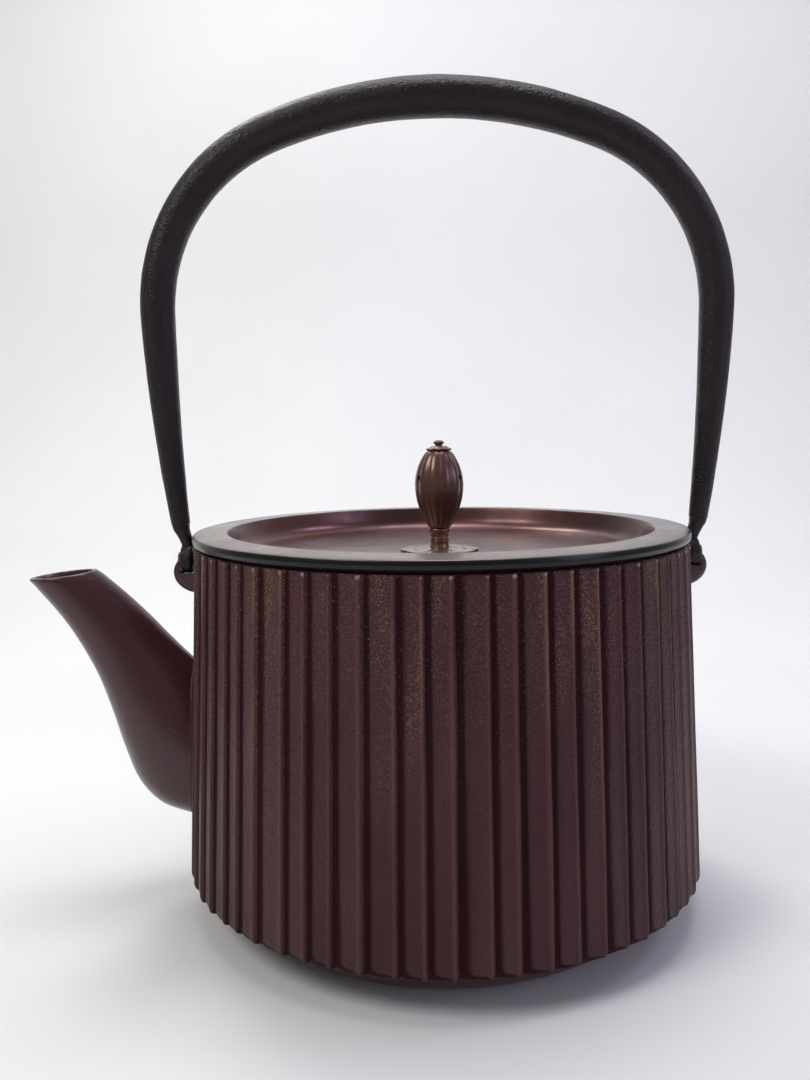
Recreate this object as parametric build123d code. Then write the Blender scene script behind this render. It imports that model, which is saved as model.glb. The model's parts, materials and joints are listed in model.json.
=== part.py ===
from build123d import *
import os
from math import atan2, cos, sin, radians, degrees, pi

# Cast iron kettle-style teapot with a ribbed, straight-sided body, a dished sheet-bronze lid,
# a flower-bud knob and a hollow forged iron bail that swings on two cast ears.
# Millimetres. The origin is on the body's axis at the flat base, +Z is up, the spout points to -X
# and the bail stands in the XZ plane.

# ---- Driving dimensions -----------------------------------------------------------------------

# Body casting
BODY_R = 79.8            # ridge radius at the lower edge of the ribs
BODY_TOP_R = 74.9        # ridge radius under the lid
RIM_Z = 115.5            # height of the lid's outer rim above the base
RIB_FOOT_Z = 12.0        # height of the ribs' lower edge
RIB_COUNT = 62
RIB_RELIEF = 1.2         # depth of the groove beside each ridge
RIB_STEP_DEG = 0.9       # width of a ridge's steep side
RIB_GROOVE_DEG = 1.0     # width of the groove floor
RIB_UNEVEN = 0.13        # hand-carved unevenness of the ribs' spacing
WALL = 3.4               # iron behind the grooves
FLOOR = 4.5              # iron under the water
RIB_END_ROUND = 0.9      # the ribs' lower ends lean in by this much
RIB_END_H = 2.2          # over this height
FOOT_R = 61.0            # radius of the flat that the pot stands on
LEDGE_W = 5.0            # narrow ledge under the ribs' lower edge
LEDGE_RISE = 1.3

# Spout
SPOUT_ROOT_Z = 23.0      # height where the spout's belly meets the wall
SPOUT_TIP_DROP = 13.0    # mouth of the spout below the rim
SPOUT_MOUTH_WALL = 2.2
SPOUT_ROOT_WALL = 3.4

# Lid
LID_OVERHANG = 0.3       # lid edge beyond the ridges
LID_EDGE = 2.6           # thickness of the lid's rolled edge
LID_RIM_W = 10.4         # width of the flat rim
LID_RIM_RISE = 0.45      # the rim climbs this much towards the dish
LID_DEPTH = 7.2          # dish floor below the rim
LID_SHEET = 1.8          # thickness of the dish floor
DISH_CORNER = 6.0        # radius between the dish floor and its wall
COLLAR_WALL = 1.8        # ring brazed under the lid, which drops into the mouth
COLLAR_H = 8.0
COLLAR_PLAY = 0.6        # radial play of the ring in the mouth

# Knob
PIN_R = 1.5              # shank of the knob's pin
PIN_PLAY = 0.08          # radial play of the pin in the lid
WASHER_R = 12.8          # flower-shaped seat of the knob
WASHER_T = 0.9
WASHER_PETALS = 8
STEM_R = 2.95            # turned sleeve between the seat and the bud
STEM_H = 6.0
BUD_R = 7.6              # fluted hollow bud, at its widest
BUD_H = 23.9
BUD_LOBES = 12
BUD_FLUTE = 0.55         # depth of the grooves between the lobes
BUD_WALL = 1.3
BUD_HOLES = 3            # small cast holes in the bud's sides
BUD_HOLE_R = 0.8
CALYX_R = 3.95           # scalloped cap under the pin's head
CALYX_SCALLOPS = 8
CALYX_T = 1.4
PIN_HEAD_R = 1.65
PIN_HEAD_H = 1.8
BACKING_R = 6.0          # plain washer under the lid
BACKING_T = 0.8
LEG_T = 1.2              # the pin's two legs, bent flat under the backing washer
LEG_REACH = 7.5
LEG_PLAY = 0.15

# Ears and bail
PIVOT_DROP = 8.7         # the bail's swing axis below the rim
BAR_R = 2.0              # bar of each ear that the bail's eye hangs on
EYE_PLAY = 0.35          # radial play of the eye on its bar
EYE_T = 2.1              # radial thickness of the eye
EYE_W = 3.6              # width of the eye along the bar
EYE_GAP = 0.4            # side play of the eye in its ear
EYE_SEAM = 1.2           # opening left where the eye was bent shut
EAR_SEAT = 0.55          # iron between the wall's ridges and the eye's slot
EAR_POST = 2.2           # outer cheek of the ear
EAR_T = 6.4              # thickness of the ear, front to back
EAR_H = 13.2             # height of the ear
EAR_DROP = 6.2           # top of the ear below the rim
ARCH_TOP_R = 132.8       # the bail is three tangent arcs: its crown,
ARCH_TOP_DEG = 22.0
ARCH_SHOULDER_R = 55.4   # its shoulder
ARCH_SHOULDER_DEG = 69.1
ARCH_LEG_R = 650.0       # and its slowly curving leg
BAIL_RISE = 136.4        # swing axis to the centre of the crown
BAIL_CROWN_D = 12.3      # diameter of the tube at the crown
BAIL_SHOULDER_D = 10.6   # where the shoulder meets the leg
BAIL_TOE_D = 6.0         # at the lower end of the tube
BAIL_WALL = 1.25
BAIL_TOE_UP = 10.7       # lower end of the tube above the swing axis
BAIL_TOE_OUT = 1.85      # and outside the middle of the eye
SPIGOT_L = 7.0           # solid end pieces reach this far into the tube
SPIGOT_PLAY = 0.05

# ---- Sizes that follow ------------------------------------------------------------------------

LID_R = BODY_TOP_R + LID_OVERHANG
SEAT_Z = RIM_Z - LID_EDGE                     # machined top of the body, where the lid rests
TAPER = (BODY_R - BODY_TOP_R) / (SEAT_Z - RIB_FOOT_Z)
MOUTH_R = BODY_TOP_R - RIB_RELIEF - WALL
INNER_FOOT_R = BODY_R - RIB_RELIEF - WALL     # inside radius at the ribs' lower edge
PIVOT_Z = RIM_Z - PIVOT_DROP
EYE_IN_R = BAR_R + EYE_PLAY
EYE_OUT_R = EYE_IN_R + EYE_T
SLOT_R = EYE_OUT_R + 2 * EYE_GAP
SLOT_X = BODY_TOP_R + TAPER * (SEAT_Z - PIVOT_Z + SLOT_R) + EAR_SEAT     # the slot's inner end
EYE_X = SLOT_X + EYE_GAP + EYE_W / 2          # middle of the eye
SLOT_END_X = SLOT_X + EYE_W + 2 * EYE_GAP
EAR_END_X = SLOT_END_X + EAR_POST
DISH_Z = RIM_Z - LID_DEPTH
DISH_R = LID_R - LID_RIM_W
KNOB_Z = DISH_Z + WASHER_T                    # foot of the knob's sleeve
BUD_Z = KNOB_Z + STEM_H


def ridge_r(z):
    """Radius of the ridges at height z."""
    return BODY_R - TAPER * (z - RIB_FOOT_Z)


# ---- Body casting -----------------------------------------------------------------------------

def rib_outline(radius, z):
    """Saw-toothed outline of the ribs: each plank rises to a sharp ridge, then drops into a
    narrow groove. The spacing is uneven, as carved by hand."""
    wanted = [1 + RIB_UNEVEN * (sin(2.4 * k) + 0.6 * sin(5.1 * k + 1)) for k in range(RIB_COUNT)]
    pitch = 360 / sum(wanted)
    points = []
    angle = 0.0
    for share in wanted:
        turns = (angle, angle + RIB_STEP_DEG, angle + RIB_STEP_DEG + RIB_GROOVE_DEG)
        for turn, r in zip(turns, (radius, radius - RIB_RELIEF, radius - RIB_RELIEF)):
            points.append((r * cos(radians(turn)), r * sin(radians(turn)), z))
        angle += pitch * share
    return Face(Wire.make_polygon(points, close=True))


def ribbed_wall():
    knee_z = RIB_FOOT_Z + RIB_END_H
    outlines = [rib_outline(ridge_r(knee_z) - RIB_END_ROUND, RIB_FOOT_Z),
                rib_outline(ridge_r(knee_z), knee_z), rib_outline(BODY_TOP_R, SEAT_Z)]
    return Solid.make_loft([outline.outer_wire() for outline in outlines], ruled=True)


def underside():
    """Turned underside: a narrow ledge under the ribs' lower edge, then a shallow cup in to the
    foot."""
    edge_r = BODY_R - RIB_RELIEF - RIB_END_ROUND - 0.3
    ledge_r = edge_r - LEDGE_W
    ledge_z = RIB_FOOT_Z - LEDGE_RISE
    with BuildSketch(Plane.XZ) as profile:
        with BuildLine():
            Line((0, 0), (FOOT_R, 0))
            ThreePointArc((FOOT_R, 0), (FOOT_R + 0.66 * (ledge_r - FOOT_R), 0.48 * ledge_z),
                          (ledge_r, ledge_z))
            Line((ledge_r, ledge_z), (edge_r, RIB_FOOT_Z))
            Line((edge_r, RIB_FOOT_Z), (edge_r, RIB_FOOT_Z + 0.5))
            Line((edge_r, RIB_FOOT_Z + 0.5), (0, RIB_FOOT_Z + 0.5))
            Line((0, RIB_FOOT_Z + 0.5), (0, 0))
        make_face()
    return revolve(profile.sketch, Axis.Z)


def hollow():
    """The space for the water, open at the mouth."""
    floor_r = FOOT_R - 6.0
    with BuildSketch(Plane.XZ) as profile:
        with BuildLine():
            Line((0, FLOOR), (floor_r, FLOOR))
            Spline((floor_r, FLOOR), (FOOT_R + 6.0, FLOOR + 3.4), (INNER_FOOT_R, RIB_FOOT_Z + 8.0),
                   tangents=((1, 0), (0, 1)))
            Line((INNER_FOOT_R, RIB_FOOT_Z + 8.0), (MOUTH_R, SEAT_Z - 4.0))
            Line((MOUTH_R, SEAT_Z - 4.0), (MOUTH_R, SEAT_Z + 1.0))
            Line((MOUTH_R, SEAT_Z + 1.0), (0, SEAT_Z + 1.0))
            Line((0, SEAT_Z + 1.0), (0, FLOOR))
        make_face()
    return revolve(profile.sketch, Axis.Z)


# Stations of the spout from inside the wall to its mouth. Each is an oval between a lower and an
# upper point: reach beyond the wall and share of the spout's rise, then the oval's width.
SPOUT_STATIONS = [
    ((-8.0, 0.02), (-18.0, 0.36), 31.0),
    ((0.5, 0.04), (-13.5, 0.46), 32.0),
    ((9.3, 0.083), (-8.8, 0.55), 32.0),
    ((15.8, 0.175), (-3.8, 0.63), 30.5),
    ((20.0, 0.31), (1.0, 0.692), 27.5),
    ((23.6, 0.46), (5.6, 0.753), 24.0),
    ((28.2, 0.62), (11.6, 0.835), 21.0),
    ((36.4, 0.805), (18.6, 0.922), 18.6),
    ((47.9, 0.986), (26.9, 1.014), 17.0),
]


def oval(plane, half_x, half_y, count=16):
    """Closed smooth curve through the points of an ellipse, which starts on the plane's X axis."""
    turns = [2 * pi * k / count for k in range(count)]
    points = [plane.from_local_coords((half_x * cos(t), half_y * sin(t))) for t in turns]
    return Wire([Edge.make_spline(points, periodic=True)])


def spout_loft(walls, overrun):
    """Loft through the stations. `walls` thins each oval by the spout's wall, and `overrun`
    carries the last oval past the mouth and the first further into the pot."""
    rise = RIM_Z - SPOUT_TIP_DROP - SPOUT_ROOT_Z
    last = len(SPOUT_STATIONS) - 1
    sections = []
    for k, (low, high, width) in enumerate(SPOUT_STATIONS):
        a = Vector(-(BODY_R + low[0]), 0, SPOUT_ROOT_Z + rise * low[1])
        b = Vector(-(BODY_R + high[0]), 0, SPOUT_ROOT_Z + rise * high[1])
        along = (b - a).normalized()
        flow = Vector(0, 1, 0).cross(along) * -1
        wall = walls * (SPOUT_ROOT_WALL + (SPOUT_MOUTH_WALL - SPOUT_ROOT_WALL) * k / last)
        middle = (a + b) / 2
        plane = Plane(origin=middle, x_dir=along, z_dir=flow)
        section = oval(plane, (b - a).length / 2 - wall, width / 2 - wall)
        sections.append(section)
        if overrun and k == last:
            up = Vector(-0.75, 0, 1).normalized() * overrun
            sections.append(section.moved(Location(up)))
    return Solid.make_loft(sections)


def ear(side):
    """Half-disc lug below the rim. A slot round its upper bar takes the eye of the bail."""
    middle_z = RIM_Z - EAR_DROP - EAR_H / 2
    root_x = BODY_TOP_R - 0.6
    lug = Plane.XZ * Ellipse(EAR_END_X - root_x, EAR_H / 2)
    lug = Pos(root_x, 0, middle_z) * extrude(lug, EAR_T / 2, both=True)
    lug = fillet(lug.edges().filter_by(GeomType.ELLIPSE), 1.6)
    inside = Pos(root_x - 20, 0, middle_z) * Box(40 - 2 * WALL + 2, 3 * EAR_T, 2 * EAR_H)
    lug -= inside
    slot = Cylinder(SLOT_R, SLOT_END_X - SLOT_X, align=(Align.CENTER, Align.CENTER, Align.MIN))
    bar = Cylinder(BAR_R, SLOT_END_X - SLOT_X + 1, align=(Align.CENTER, Align.CENTER, Align.MIN))
    along_x = Rotation(0, 90, 0)
    lug -= Pos(SLOT_X, 0, PIVOT_Z) * along_x * slot
    lug += Pos(SLOT_X - 0.5, 0, PIVOT_Z) * along_x * bar
    return lug if side > 0 else mirror(lug, Plane.YZ)


def pot_casting():
    """Body of the pot with its two ears, open at the mouth and into the spout."""
    body = ribbed_wall() + underside()
    for side in (1, -1):
        body = body + ear(side)
    return body - hollow() - spout_loft(walls=1, overrun=6)


def pot_spout():
    """The spout outside the ribbed wall. It is one casting with the body, and meets it face to
    face in the wall's own outline."""
    return spout_loft(walls=0, overrun=0) - spout_loft(walls=1, overrun=6) - ribbed_wall() - underside()


# ---- Lid --------------------------------------------------------------------------------------

def lid_plate():
    """Dished sheet lid with a flat rim, turned, with a hole for the knob's pin."""
    rim_in_z = RIM_Z + LID_RIM_RISE
    under_z = DISH_Z - LID_SHEET
    seat_z = RIM_Z - LID_EDGE
    wall_r = DISH_R + LID_SHEET + 0.3
    roll = 0.5
    with BuildSketch(Plane.XZ) as profile:
        with BuildLine():
            Polyline((0, DISH_Z), (DISH_R - DISH_CORNER, DISH_Z))
            ThreePointArc((DISH_R - DISH_CORNER, DISH_Z),
                          (DISH_R - DISH_CORNER * 0.25, DISH_Z + DISH_CORNER * 0.34),
                          (DISH_R, rim_in_z - roll))
            Polyline((DISH_R, rim_in_z - roll), (DISH_R + roll, rim_in_z), (LID_R - roll, RIM_Z),
                     (LID_R, RIM_Z - roll), (LID_R, seat_z + roll), (LID_R - roll, seat_z),
                     (wall_r, seat_z))
            ThreePointArc((wall_r, seat_z),
                          (wall_r - DISH_CORNER * 0.42, under_z + DISH_CORNER * 0.40),
                          (DISH_R - DISH_CORNER, under_z))
            Polyline((DISH_R - DISH_CORNER, under_z), (0, under_z), (0, DISH_Z))
        make_face()
    plate = revolve(profile.sketch, Axis.Z)
    return plate - Pos(0, 0, DISH_Z) * Cylinder(PIN_R + PIN_PLAY, 4 * LID_SHEET)


def lid_collar_ring():
    """Ring brazed under the rim, which keeps the lid in the mouth."""
    outer = MOUTH_R - COLLAR_PLAY
    ring = Cylinder(outer, COLLAR_H) - Cylinder(outer - COLLAR_WALL, COLLAR_H)
    return Pos(0, 0, RIM_Z - LID_EDGE - COLLAR_H / 2) * ring


def flower_washer():
    """Seat of the knob: eight broad petals, each with a small pierced hole."""
    petal_r = WASHER_R * 0.36
    flower = Circle(WASHER_R - petal_r)
    holes = Circle(PIN_R + PIN_PLAY)
    for k in range(WASHER_PETALS):
        turn = 2 * pi * (k + 0.5) / WASHER_PETALS
        reach = WASHER_R - petal_r
        flower += Pos(reach * cos(turn), reach * sin(turn)) * Circle(petal_r)
        holes += Pos(reach * cos(turn), reach * sin(turn)) * Circle(0.7)
    return Pos(0, 0, DISH_Z) * extrude(flower - holes, WASHER_T)


def backing_washer():
    ring = Cylinder(BACKING_R, BACKING_T) - Cylinder(PIN_R + PIN_PLAY, BACKING_T)
    return Pos(0, 0, DISH_Z - LID_SHEET - BACKING_T / 2) * ring


# ---- Knob -------------------------------------------------------------------------------------

def turned(points):
    """Solid of revolution about Z from a closed outline of (radius, height) points."""
    with BuildSketch(Plane.XZ) as profile:
        with BuildLine():
            Polyline(*points, close=True)
        make_face()
    return revolve(profile.sketch, Axis.Z)


def knob_stem():
    """Turned sleeve with a wide ring at its head and a double bead at its waist."""
    bore = PIN_R + PIN_PLAY
    neck = STEM_R - 0.2
    head = STEM_R + 0.45
    outline = [
        (bore, 0), (STEM_R + 0.1, 0), (STEM_R, 0.6), (neck, 1.4), (neck, 1.8), (STEM_R, 2.0),
        (STEM_R, 2.4), (neck, 2.6), (STEM_R, 2.8), (STEM_R, 3.2), (neck, 3.4),
        (neck, STEM_H - 1.6), (head - 0.2, STEM_H - 1.3), (head, STEM_H - 0.9),
        (head, STEM_H - 0.3), (head - 0.3, STEM_H), (bore, STEM_H),
    ]
    return turned([(r, KNOB_Z + z) for r, z in outline])


def bud_radius(share):
    """Radius of the bud at a share of its height: a rounded spindle, fullest above its middle."""
    neck_low = STEM_R + 0.1
    neck_high = CALYX_R - 0.5
    bulge = sin(pi * share ** 1.12) ** 0.72
    neck = neck_low + (neck_high - neck_low) * share
    return neck + (BUD_R - (neck_low + neck_high) / 2) * bulge


def bud_section(share, inset):
    """Lobed outline of the bud at a share of its height, drawn as a smooth closed curve."""
    per_lobe = 6
    count = BUD_LOBES * per_lobe
    flute = BUD_FLUTE * sin(pi * min(max(share, 0.04), 0.96)) ** 0.5
    radius = bud_radius(share) - inset
    points = []
    for k in range(count):
        lobe = abs(cos(pi * (k % per_lobe) / per_lobe))
        r = radius - flute * lobe ** 2.5
        turn = 2 * pi * k / count
        points.append((r * cos(turn), r * sin(turn), BUD_Z + share * BUD_H))
    return Wire.make_polygon(points, close=True)


def knob_bud():
    """Hollow cast bud with lobes from end to end and small side holes, one straight behind."""
    steps = 14
    outer = Solid.make_loft([bud_section(k / steps, 0) for k in range(steps + 1)], ruled=True)
    shares = [0.08 + 0.84 * k / steps for k in range(steps + 1)]
    levels = [(bud_radius(s) - BUD_FLUTE - BUD_WALL, BUD_Z + s * BUD_H) for s in shares]
    core = turned([(0, levels[0][1])] + levels + [(0, levels[-1][1])])
    bud = outer - core
    bore_h = 1.2 * BUD_H
    bud -= Pos(0, 0, BUD_Z + BUD_H / 2) * Cylinder(PIN_R + PIN_PLAY, bore_h)
    hole_z = BUD_Z + 0.66 * BUD_H
    drill = Cylinder(BUD_HOLE_R, 2 * BUD_R, align=(Align.CENTER, Align.CENTER, Align.MIN))
    for k in range(BUD_HOLES):
        bud -= Pos(0, 0, hole_z) * Rotation(0, 0, 90 + 360 * k / BUD_HOLES) * Rotation(0, 90, 0) * drill
    return bud


def knob_calyx():
    """Scalloped cap that closes the bud under the pin's head."""
    scallop = CALYX_R * 0.32
    reach = CALYX_R - scallop
    flower = Circle(reach)
    for k in range(CALYX_SCALLOPS):
        turn = 2 * pi * k / CALYX_SCALLOPS
        flower += Pos(reach * cos(turn), reach * sin(turn)) * Circle(scallop)
    cap = extrude(flower, CALYX_T * 0.45)
    cap += Pos(0, 0, CALYX_T * 0.45) * Cone(
        reach, PIN_HEAD_R + 0.4, CALYX_T * 0.55, align=(Align.CENTER, Align.CENTER, Align.MIN))
    cap -= Cylinder(PIN_R + PIN_PLAY, 4 * CALYX_T)
    return Pos(0, 0, BUD_Z + BUD_H) * cap


def knob_pin():
    """Pin through the whole knob and the lid: button head above, two bent legs below."""
    head_z = BUD_Z + BUD_H + CALYX_T
    legs_z = DISH_Z - LID_SHEET - BACKING_T - LEG_PLAY
    shank_h = head_z - legs_z + LEG_T
    pin = Pos(0, 0, legs_z - LEG_T) * Cylinder(
        PIN_R, shank_h, align=(Align.CENTER, Align.CENTER, Align.MIN))
    pin += turned([
        (0, head_z), (PIN_HEAD_R - 0.3, head_z), (PIN_HEAD_R - 0.4, head_z + 0.35 * PIN_HEAD_H),
        (PIN_HEAD_R, head_z + 0.5 * PIN_HEAD_H), (PIN_HEAD_R, head_z + 0.75 * PIN_HEAD_H),
        (PIN_HEAD_R - 0.4, head_z + 0.95 * PIN_HEAD_H), (0.6, head_z + PIN_HEAD_H),
        (0, head_z + PIN_HEAD_H)])
    legs = Pos(0, 0, legs_z - LEG_T / 2) * Box(2 * LEG_REACH, 2 * PIN_R * 0.9, LEG_T)
    split = Pos(0, 0, legs_z - LEG_T) * Box(0.3, 4 * PIN_R, 1.6 * LEG_T)
    return pin + legs - split


# ---- Bail -------------------------------------------------------------------------------------

LEG_STEPS = 7            # stations along each leg of the bail


def arch_points(step_deg=6.0):
    """Right half of the bail's centre line from the crown down: (x, z, heading, length so far).
    The heading is in degrees below the horizontal. The arch spreads to stand over the eyes."""
    x = 0.0
    z = PIVOT_Z + BAIL_RISE
    heading = 0.0
    length = 0.0
    rows = [(x, z, heading, length)]
    toe_z = PIVOT_Z + BAIL_TOE_UP
    for radius, turn in ((ARCH_TOP_R, ARCH_TOP_DEG), (ARCH_SHOULDER_R, ARCH_SHOULDER_DEG)):
        count = max(2, round(turn / step_deg))
        for k in range(count):
            middle = radians(heading + turn / count / 2)
            chord = 2 * radius * sin(radians(turn / count / 2))
            x += chord * cos(middle)
            z -= chord * sin(middle)
            heading += turn / count
            length += radius * radians(turn / count)
            rows.append((x, z, heading, length))
    for k in range(LEG_STEPS):
        chord = (z - toe_z) / (LEG_STEPS - k) / sin(radians(heading))
        turn = degrees(chord / ARCH_LEG_R)
        x += chord * cos(radians(heading + turn / 2))
        z -= chord * sin(radians(heading + turn / 2))
        heading += turn
        length += chord
        rows.append((x, z, heading, length))
    spread = (EYE_X + BAIL_TOE_OUT) / x
    return [(spread * x, z, degrees(atan2(sin(radians(h)), spread * cos(radians(h)))), run)
            for x, z, h, run in rows]


def bail_diameter(rows, k):
    """The tube narrows slowly from crown to shoulder, then faster down the leg."""
    shoulder = len(rows) - 1 - LEG_STEPS
    if k <= shoulder:
        share = rows[k][3] / rows[shoulder][3]
        return BAIL_CROWN_D + (BAIL_SHOULDER_D - BAIL_CROWN_D) * share
    share = (rows[k][3] - rows[shoulder][3]) / (rows[-1][3] - rows[shoulder][3])
    return BAIL_SHOULDER_D + (BAIL_TOE_D - BAIL_SHOULDER_D) * share ** 1.25


def bail_loft(inset):
    rows = arch_points()
    stations = [(row, bail_diameter(rows, k)) for k, row in enumerate(rows)]
    sections = []
    for side, part in ((-1, stations[:0:-1]), (1, stations)):
        for (x, z, heading, _), size in part:
            turn = radians(heading)
            plane = Plane(origin=(side * x, 0, z), x_dir=(0, 1, 0),
                          z_dir=(cos(turn), 0, -side * sin(turn)))
            sections.append((plane * Circle(size / 2 - inset)).faces()[0])
    return loft(sections)


def bail_tube():
    """Hollow forged arch of the handle, open at its two ends."""
    return bail_loft(0) - bail_loft(BAIL_WALL)


def bail_end(side):
    """Solid forged end: a spigot in the tube, a tapered neck and an eye bent round the ear's bar."""
    toe = arch_points()[-1]
    turn = radians(toe[2])
    down = Vector(cos(turn), 0, -sin(turn))
    toe_at = Vector(toe[0], 0, toe[1])
    spigot_r = BAIL_TOE_D / 2 - BAIL_WALL - SPIGOT_PLAY
    toe_plane = Plane(origin=toe_at, x_dir=(0, 1, 0), z_dir=down)
    neck_z = PIVOT_Z + EYE_OUT_R - 0.4
    waist_z = (toe[1] + neck_z) / 2
    sections = [
        toe_plane * Ellipse(BAIL_TOE_D / 2 - 0.25, BAIL_TOE_D / 2 - 0.25),
        Pos((toe[0] + EYE_X) / 2, 0, waist_z) * Ellipse(EYE_W / 2 + 0.35, EYE_W / 2 + 0.3),
        Pos(EYE_X, 0, neck_z) * Ellipse(EYE_W / 2, EYE_W / 2),
    ]
    neck = loft([s.faces()[0] for s in sections])
    spigot = toe_plane * Cylinder(spigot_r, SPIGOT_L, align=(Align.CENTER, Align.CENTER, Align.MAX))
    eye = Cylinder(EYE_OUT_R, EYE_W) - Cylinder(EYE_IN_R, EYE_W)
    eye = fillet(eye.edges().filter_by(GeomType.CIRCLE), 0.5)
    seam = Pos(0, 0, EYE_OUT_R) * Box(2 * EYE_W, EYE_SEAM, 2 * EYE_OUT_R)
    seam = Rotation(-50, 0, 0) * seam
    eye = Rotation(0, 90, 0) * eye - seam
    end = neck + spigot + Pos(EYE_X, 0, PIVOT_Z) * eye
    return end if side > 0 else mirror(end, Plane.YZ)


# ---- Parts ------------------------------------------------------------------------------------

PARTS = {
    "pot_casting": pot_casting,
    "pot_spout": pot_spout,
    "lid_plate": lid_plate,
    "lid_collar_ring": lid_collar_ring,
    "flower_washer": flower_washer,
    "backing_washer": backing_washer,
    "knob_stem": knob_stem,
    "knob_bud": knob_bud,
    "knob_calyx": knob_calyx,
    "knob_pin": knob_pin,
    "bail_tube": bail_tube,
    "bail_end_right": lambda: bail_end(1),
    "bail_end_left": lambda: bail_end(-1),
}

os.makedirs("parts", exist_ok=True)
for name, make in PARTS.items():
    export_step(make(), f"parts/{name}.step")
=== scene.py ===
import json
import math

import bmesh
import bpy
import numpy as np
from bpy.props import FloatProperty, FloatVectorProperty, IntProperty, PointerProperty
from bpy.types import Operator, Panel, PropertyGroup
from mathutils import Matrix, Vector


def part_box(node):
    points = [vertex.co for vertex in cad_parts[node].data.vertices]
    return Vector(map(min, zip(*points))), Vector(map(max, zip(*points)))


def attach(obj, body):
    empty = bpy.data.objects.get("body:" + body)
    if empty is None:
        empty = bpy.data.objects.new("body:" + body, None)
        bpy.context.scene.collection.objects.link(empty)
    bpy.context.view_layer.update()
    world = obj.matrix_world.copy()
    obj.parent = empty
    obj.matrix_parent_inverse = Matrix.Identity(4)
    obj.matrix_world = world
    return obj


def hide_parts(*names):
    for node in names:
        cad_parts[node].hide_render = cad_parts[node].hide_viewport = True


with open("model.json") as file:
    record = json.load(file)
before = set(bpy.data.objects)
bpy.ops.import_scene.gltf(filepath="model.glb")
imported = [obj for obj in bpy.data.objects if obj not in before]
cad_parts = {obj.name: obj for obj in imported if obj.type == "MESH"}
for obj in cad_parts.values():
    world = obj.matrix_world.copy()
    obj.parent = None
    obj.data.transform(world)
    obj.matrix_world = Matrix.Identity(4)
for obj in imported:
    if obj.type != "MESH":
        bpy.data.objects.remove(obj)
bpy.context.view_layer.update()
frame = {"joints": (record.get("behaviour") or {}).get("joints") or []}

bl_info = {
    "name": "Ribbed Iron Teapot",
    "version": (1, 0, 0),
    "blender": (4, 5, 0),
    "location": "View3D > Sidebar > Teapot",
    "description": "Makes a ribbed cast iron teapot with a dished lid, a bud knob "
                   "and a forged bail",
    "category": "Add Mesh",
}

MM = 0.001

_, POT_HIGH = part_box("pot_casting")
_, LID_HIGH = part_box("lid_plate")
COLLAR_LOW, COLLAR_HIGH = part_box("lid_collar_ring")
SEAT_LOW, SEAT_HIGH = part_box("flower_washer")
BACKING_LOW, BACKING_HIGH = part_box("backing_washer")
STEM_LOW, STEM_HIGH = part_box("knob_stem")
BUD_LOW, BUD_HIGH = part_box("knob_bud")
CALYX_LOW, CALYX_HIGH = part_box("knob_calyx")
PIN_LOW, PIN_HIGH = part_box("knob_pin")
_, BAIL_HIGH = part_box("bail_tube")
END_LOW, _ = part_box("bail_end_right")

FRONT = -math.pi / 2     # direction of the pot's front, about Z


# ---- Sizes and colours that a user may change -------------------------------------------------

def length(name, description, default_mm):
    return FloatProperty(name=name, description=description, default=default_mm * MM,
                         min=0.0, unit="LENGTH", precision=5)


def count(name, description, default, least=3):
    return IntProperty(name=name, description=description, default=default, min=least)


def number(name, description, default, **limits):
    return FloatProperty(name=name, description=description, default=default, **limits)


def colour(name, description, default):
    return FloatVectorProperty(name=name, description=description, default=default,
                               size=3, min=0.0, max=1.0, subtype="COLOR")


class TeapotPotSettings(PropertyGroup):
    rib_count: count("Ribs", "Carved ribs round the body", 62, 8)
    rib_relief: length("Rib relief", "Depth of the groove beside each ridge", 1.2)
    rib_uneven: number("Uneven spacing", "Wander of each ridge, as a share of the spacing", 0.15,
                       min=0.0, max=0.4)
    rib_seed: IntProperty(name="Rib seed", default=5,
                          description="Pattern of the carver's unevenness")
    top_r: length("Top radius", "Radius of the ridges under the lid", 74.9)
    foot_r: length("Foot radius", "Flat ring that the pot stands on", 61.0)
    ledge: length("Ledge", "Width of the ledge under the ribs' lower edge", 5.0)
    end_round: length("Rib end", "How far the ribs' lower ends lean in", 0.9)
    rib_foot: length("Rib foot height", "Height of the ribs' lower edge", 12.0)
    wall: length("Wall", "Iron behind the grooves", 3.4)
    floor: length("Floor", "Iron under the water", 4.5)
    spout_root: length("Spout root", "Height where the spout's belly leaves the wall", 23.0)
    mouth_wall: length("Spout lip", "Wall of the spout at its mouth", 2.2)
    root_wall: length("Spout wall", "Wall of the spout at its root", 3.4)


class TeapotLidSettings(PropertyGroup):
    edge: length("Edge", "Thickness of the lid's rolled edge", 2.6)
    rim: length("Rim width", "Width of the flat rim", 10.4)
    rise: length("Rim rise", "Climb of the rim towards the dish", 0.45)
    depth: length("Dish depth", "Depth of the dish below the outer rim", 7.2)
    sheet: length("Sheet", "Thickness of the dish floor", 1.8)
    petals: count("Petals", "Petals of the knob's seat", 8)


class TeapotKnobSettings(PropertyGroup):
    lobes: count("Lobes", "Lobes round the bud", 12, 4)
    flute: length("Flute", "Depth of the grooves between the lobes", 0.4)
    hole: length("Hole", "Radius of the small side holes", 0.75)
    scallops: count("Scallops", "Scallops round the cap", 8)


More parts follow.
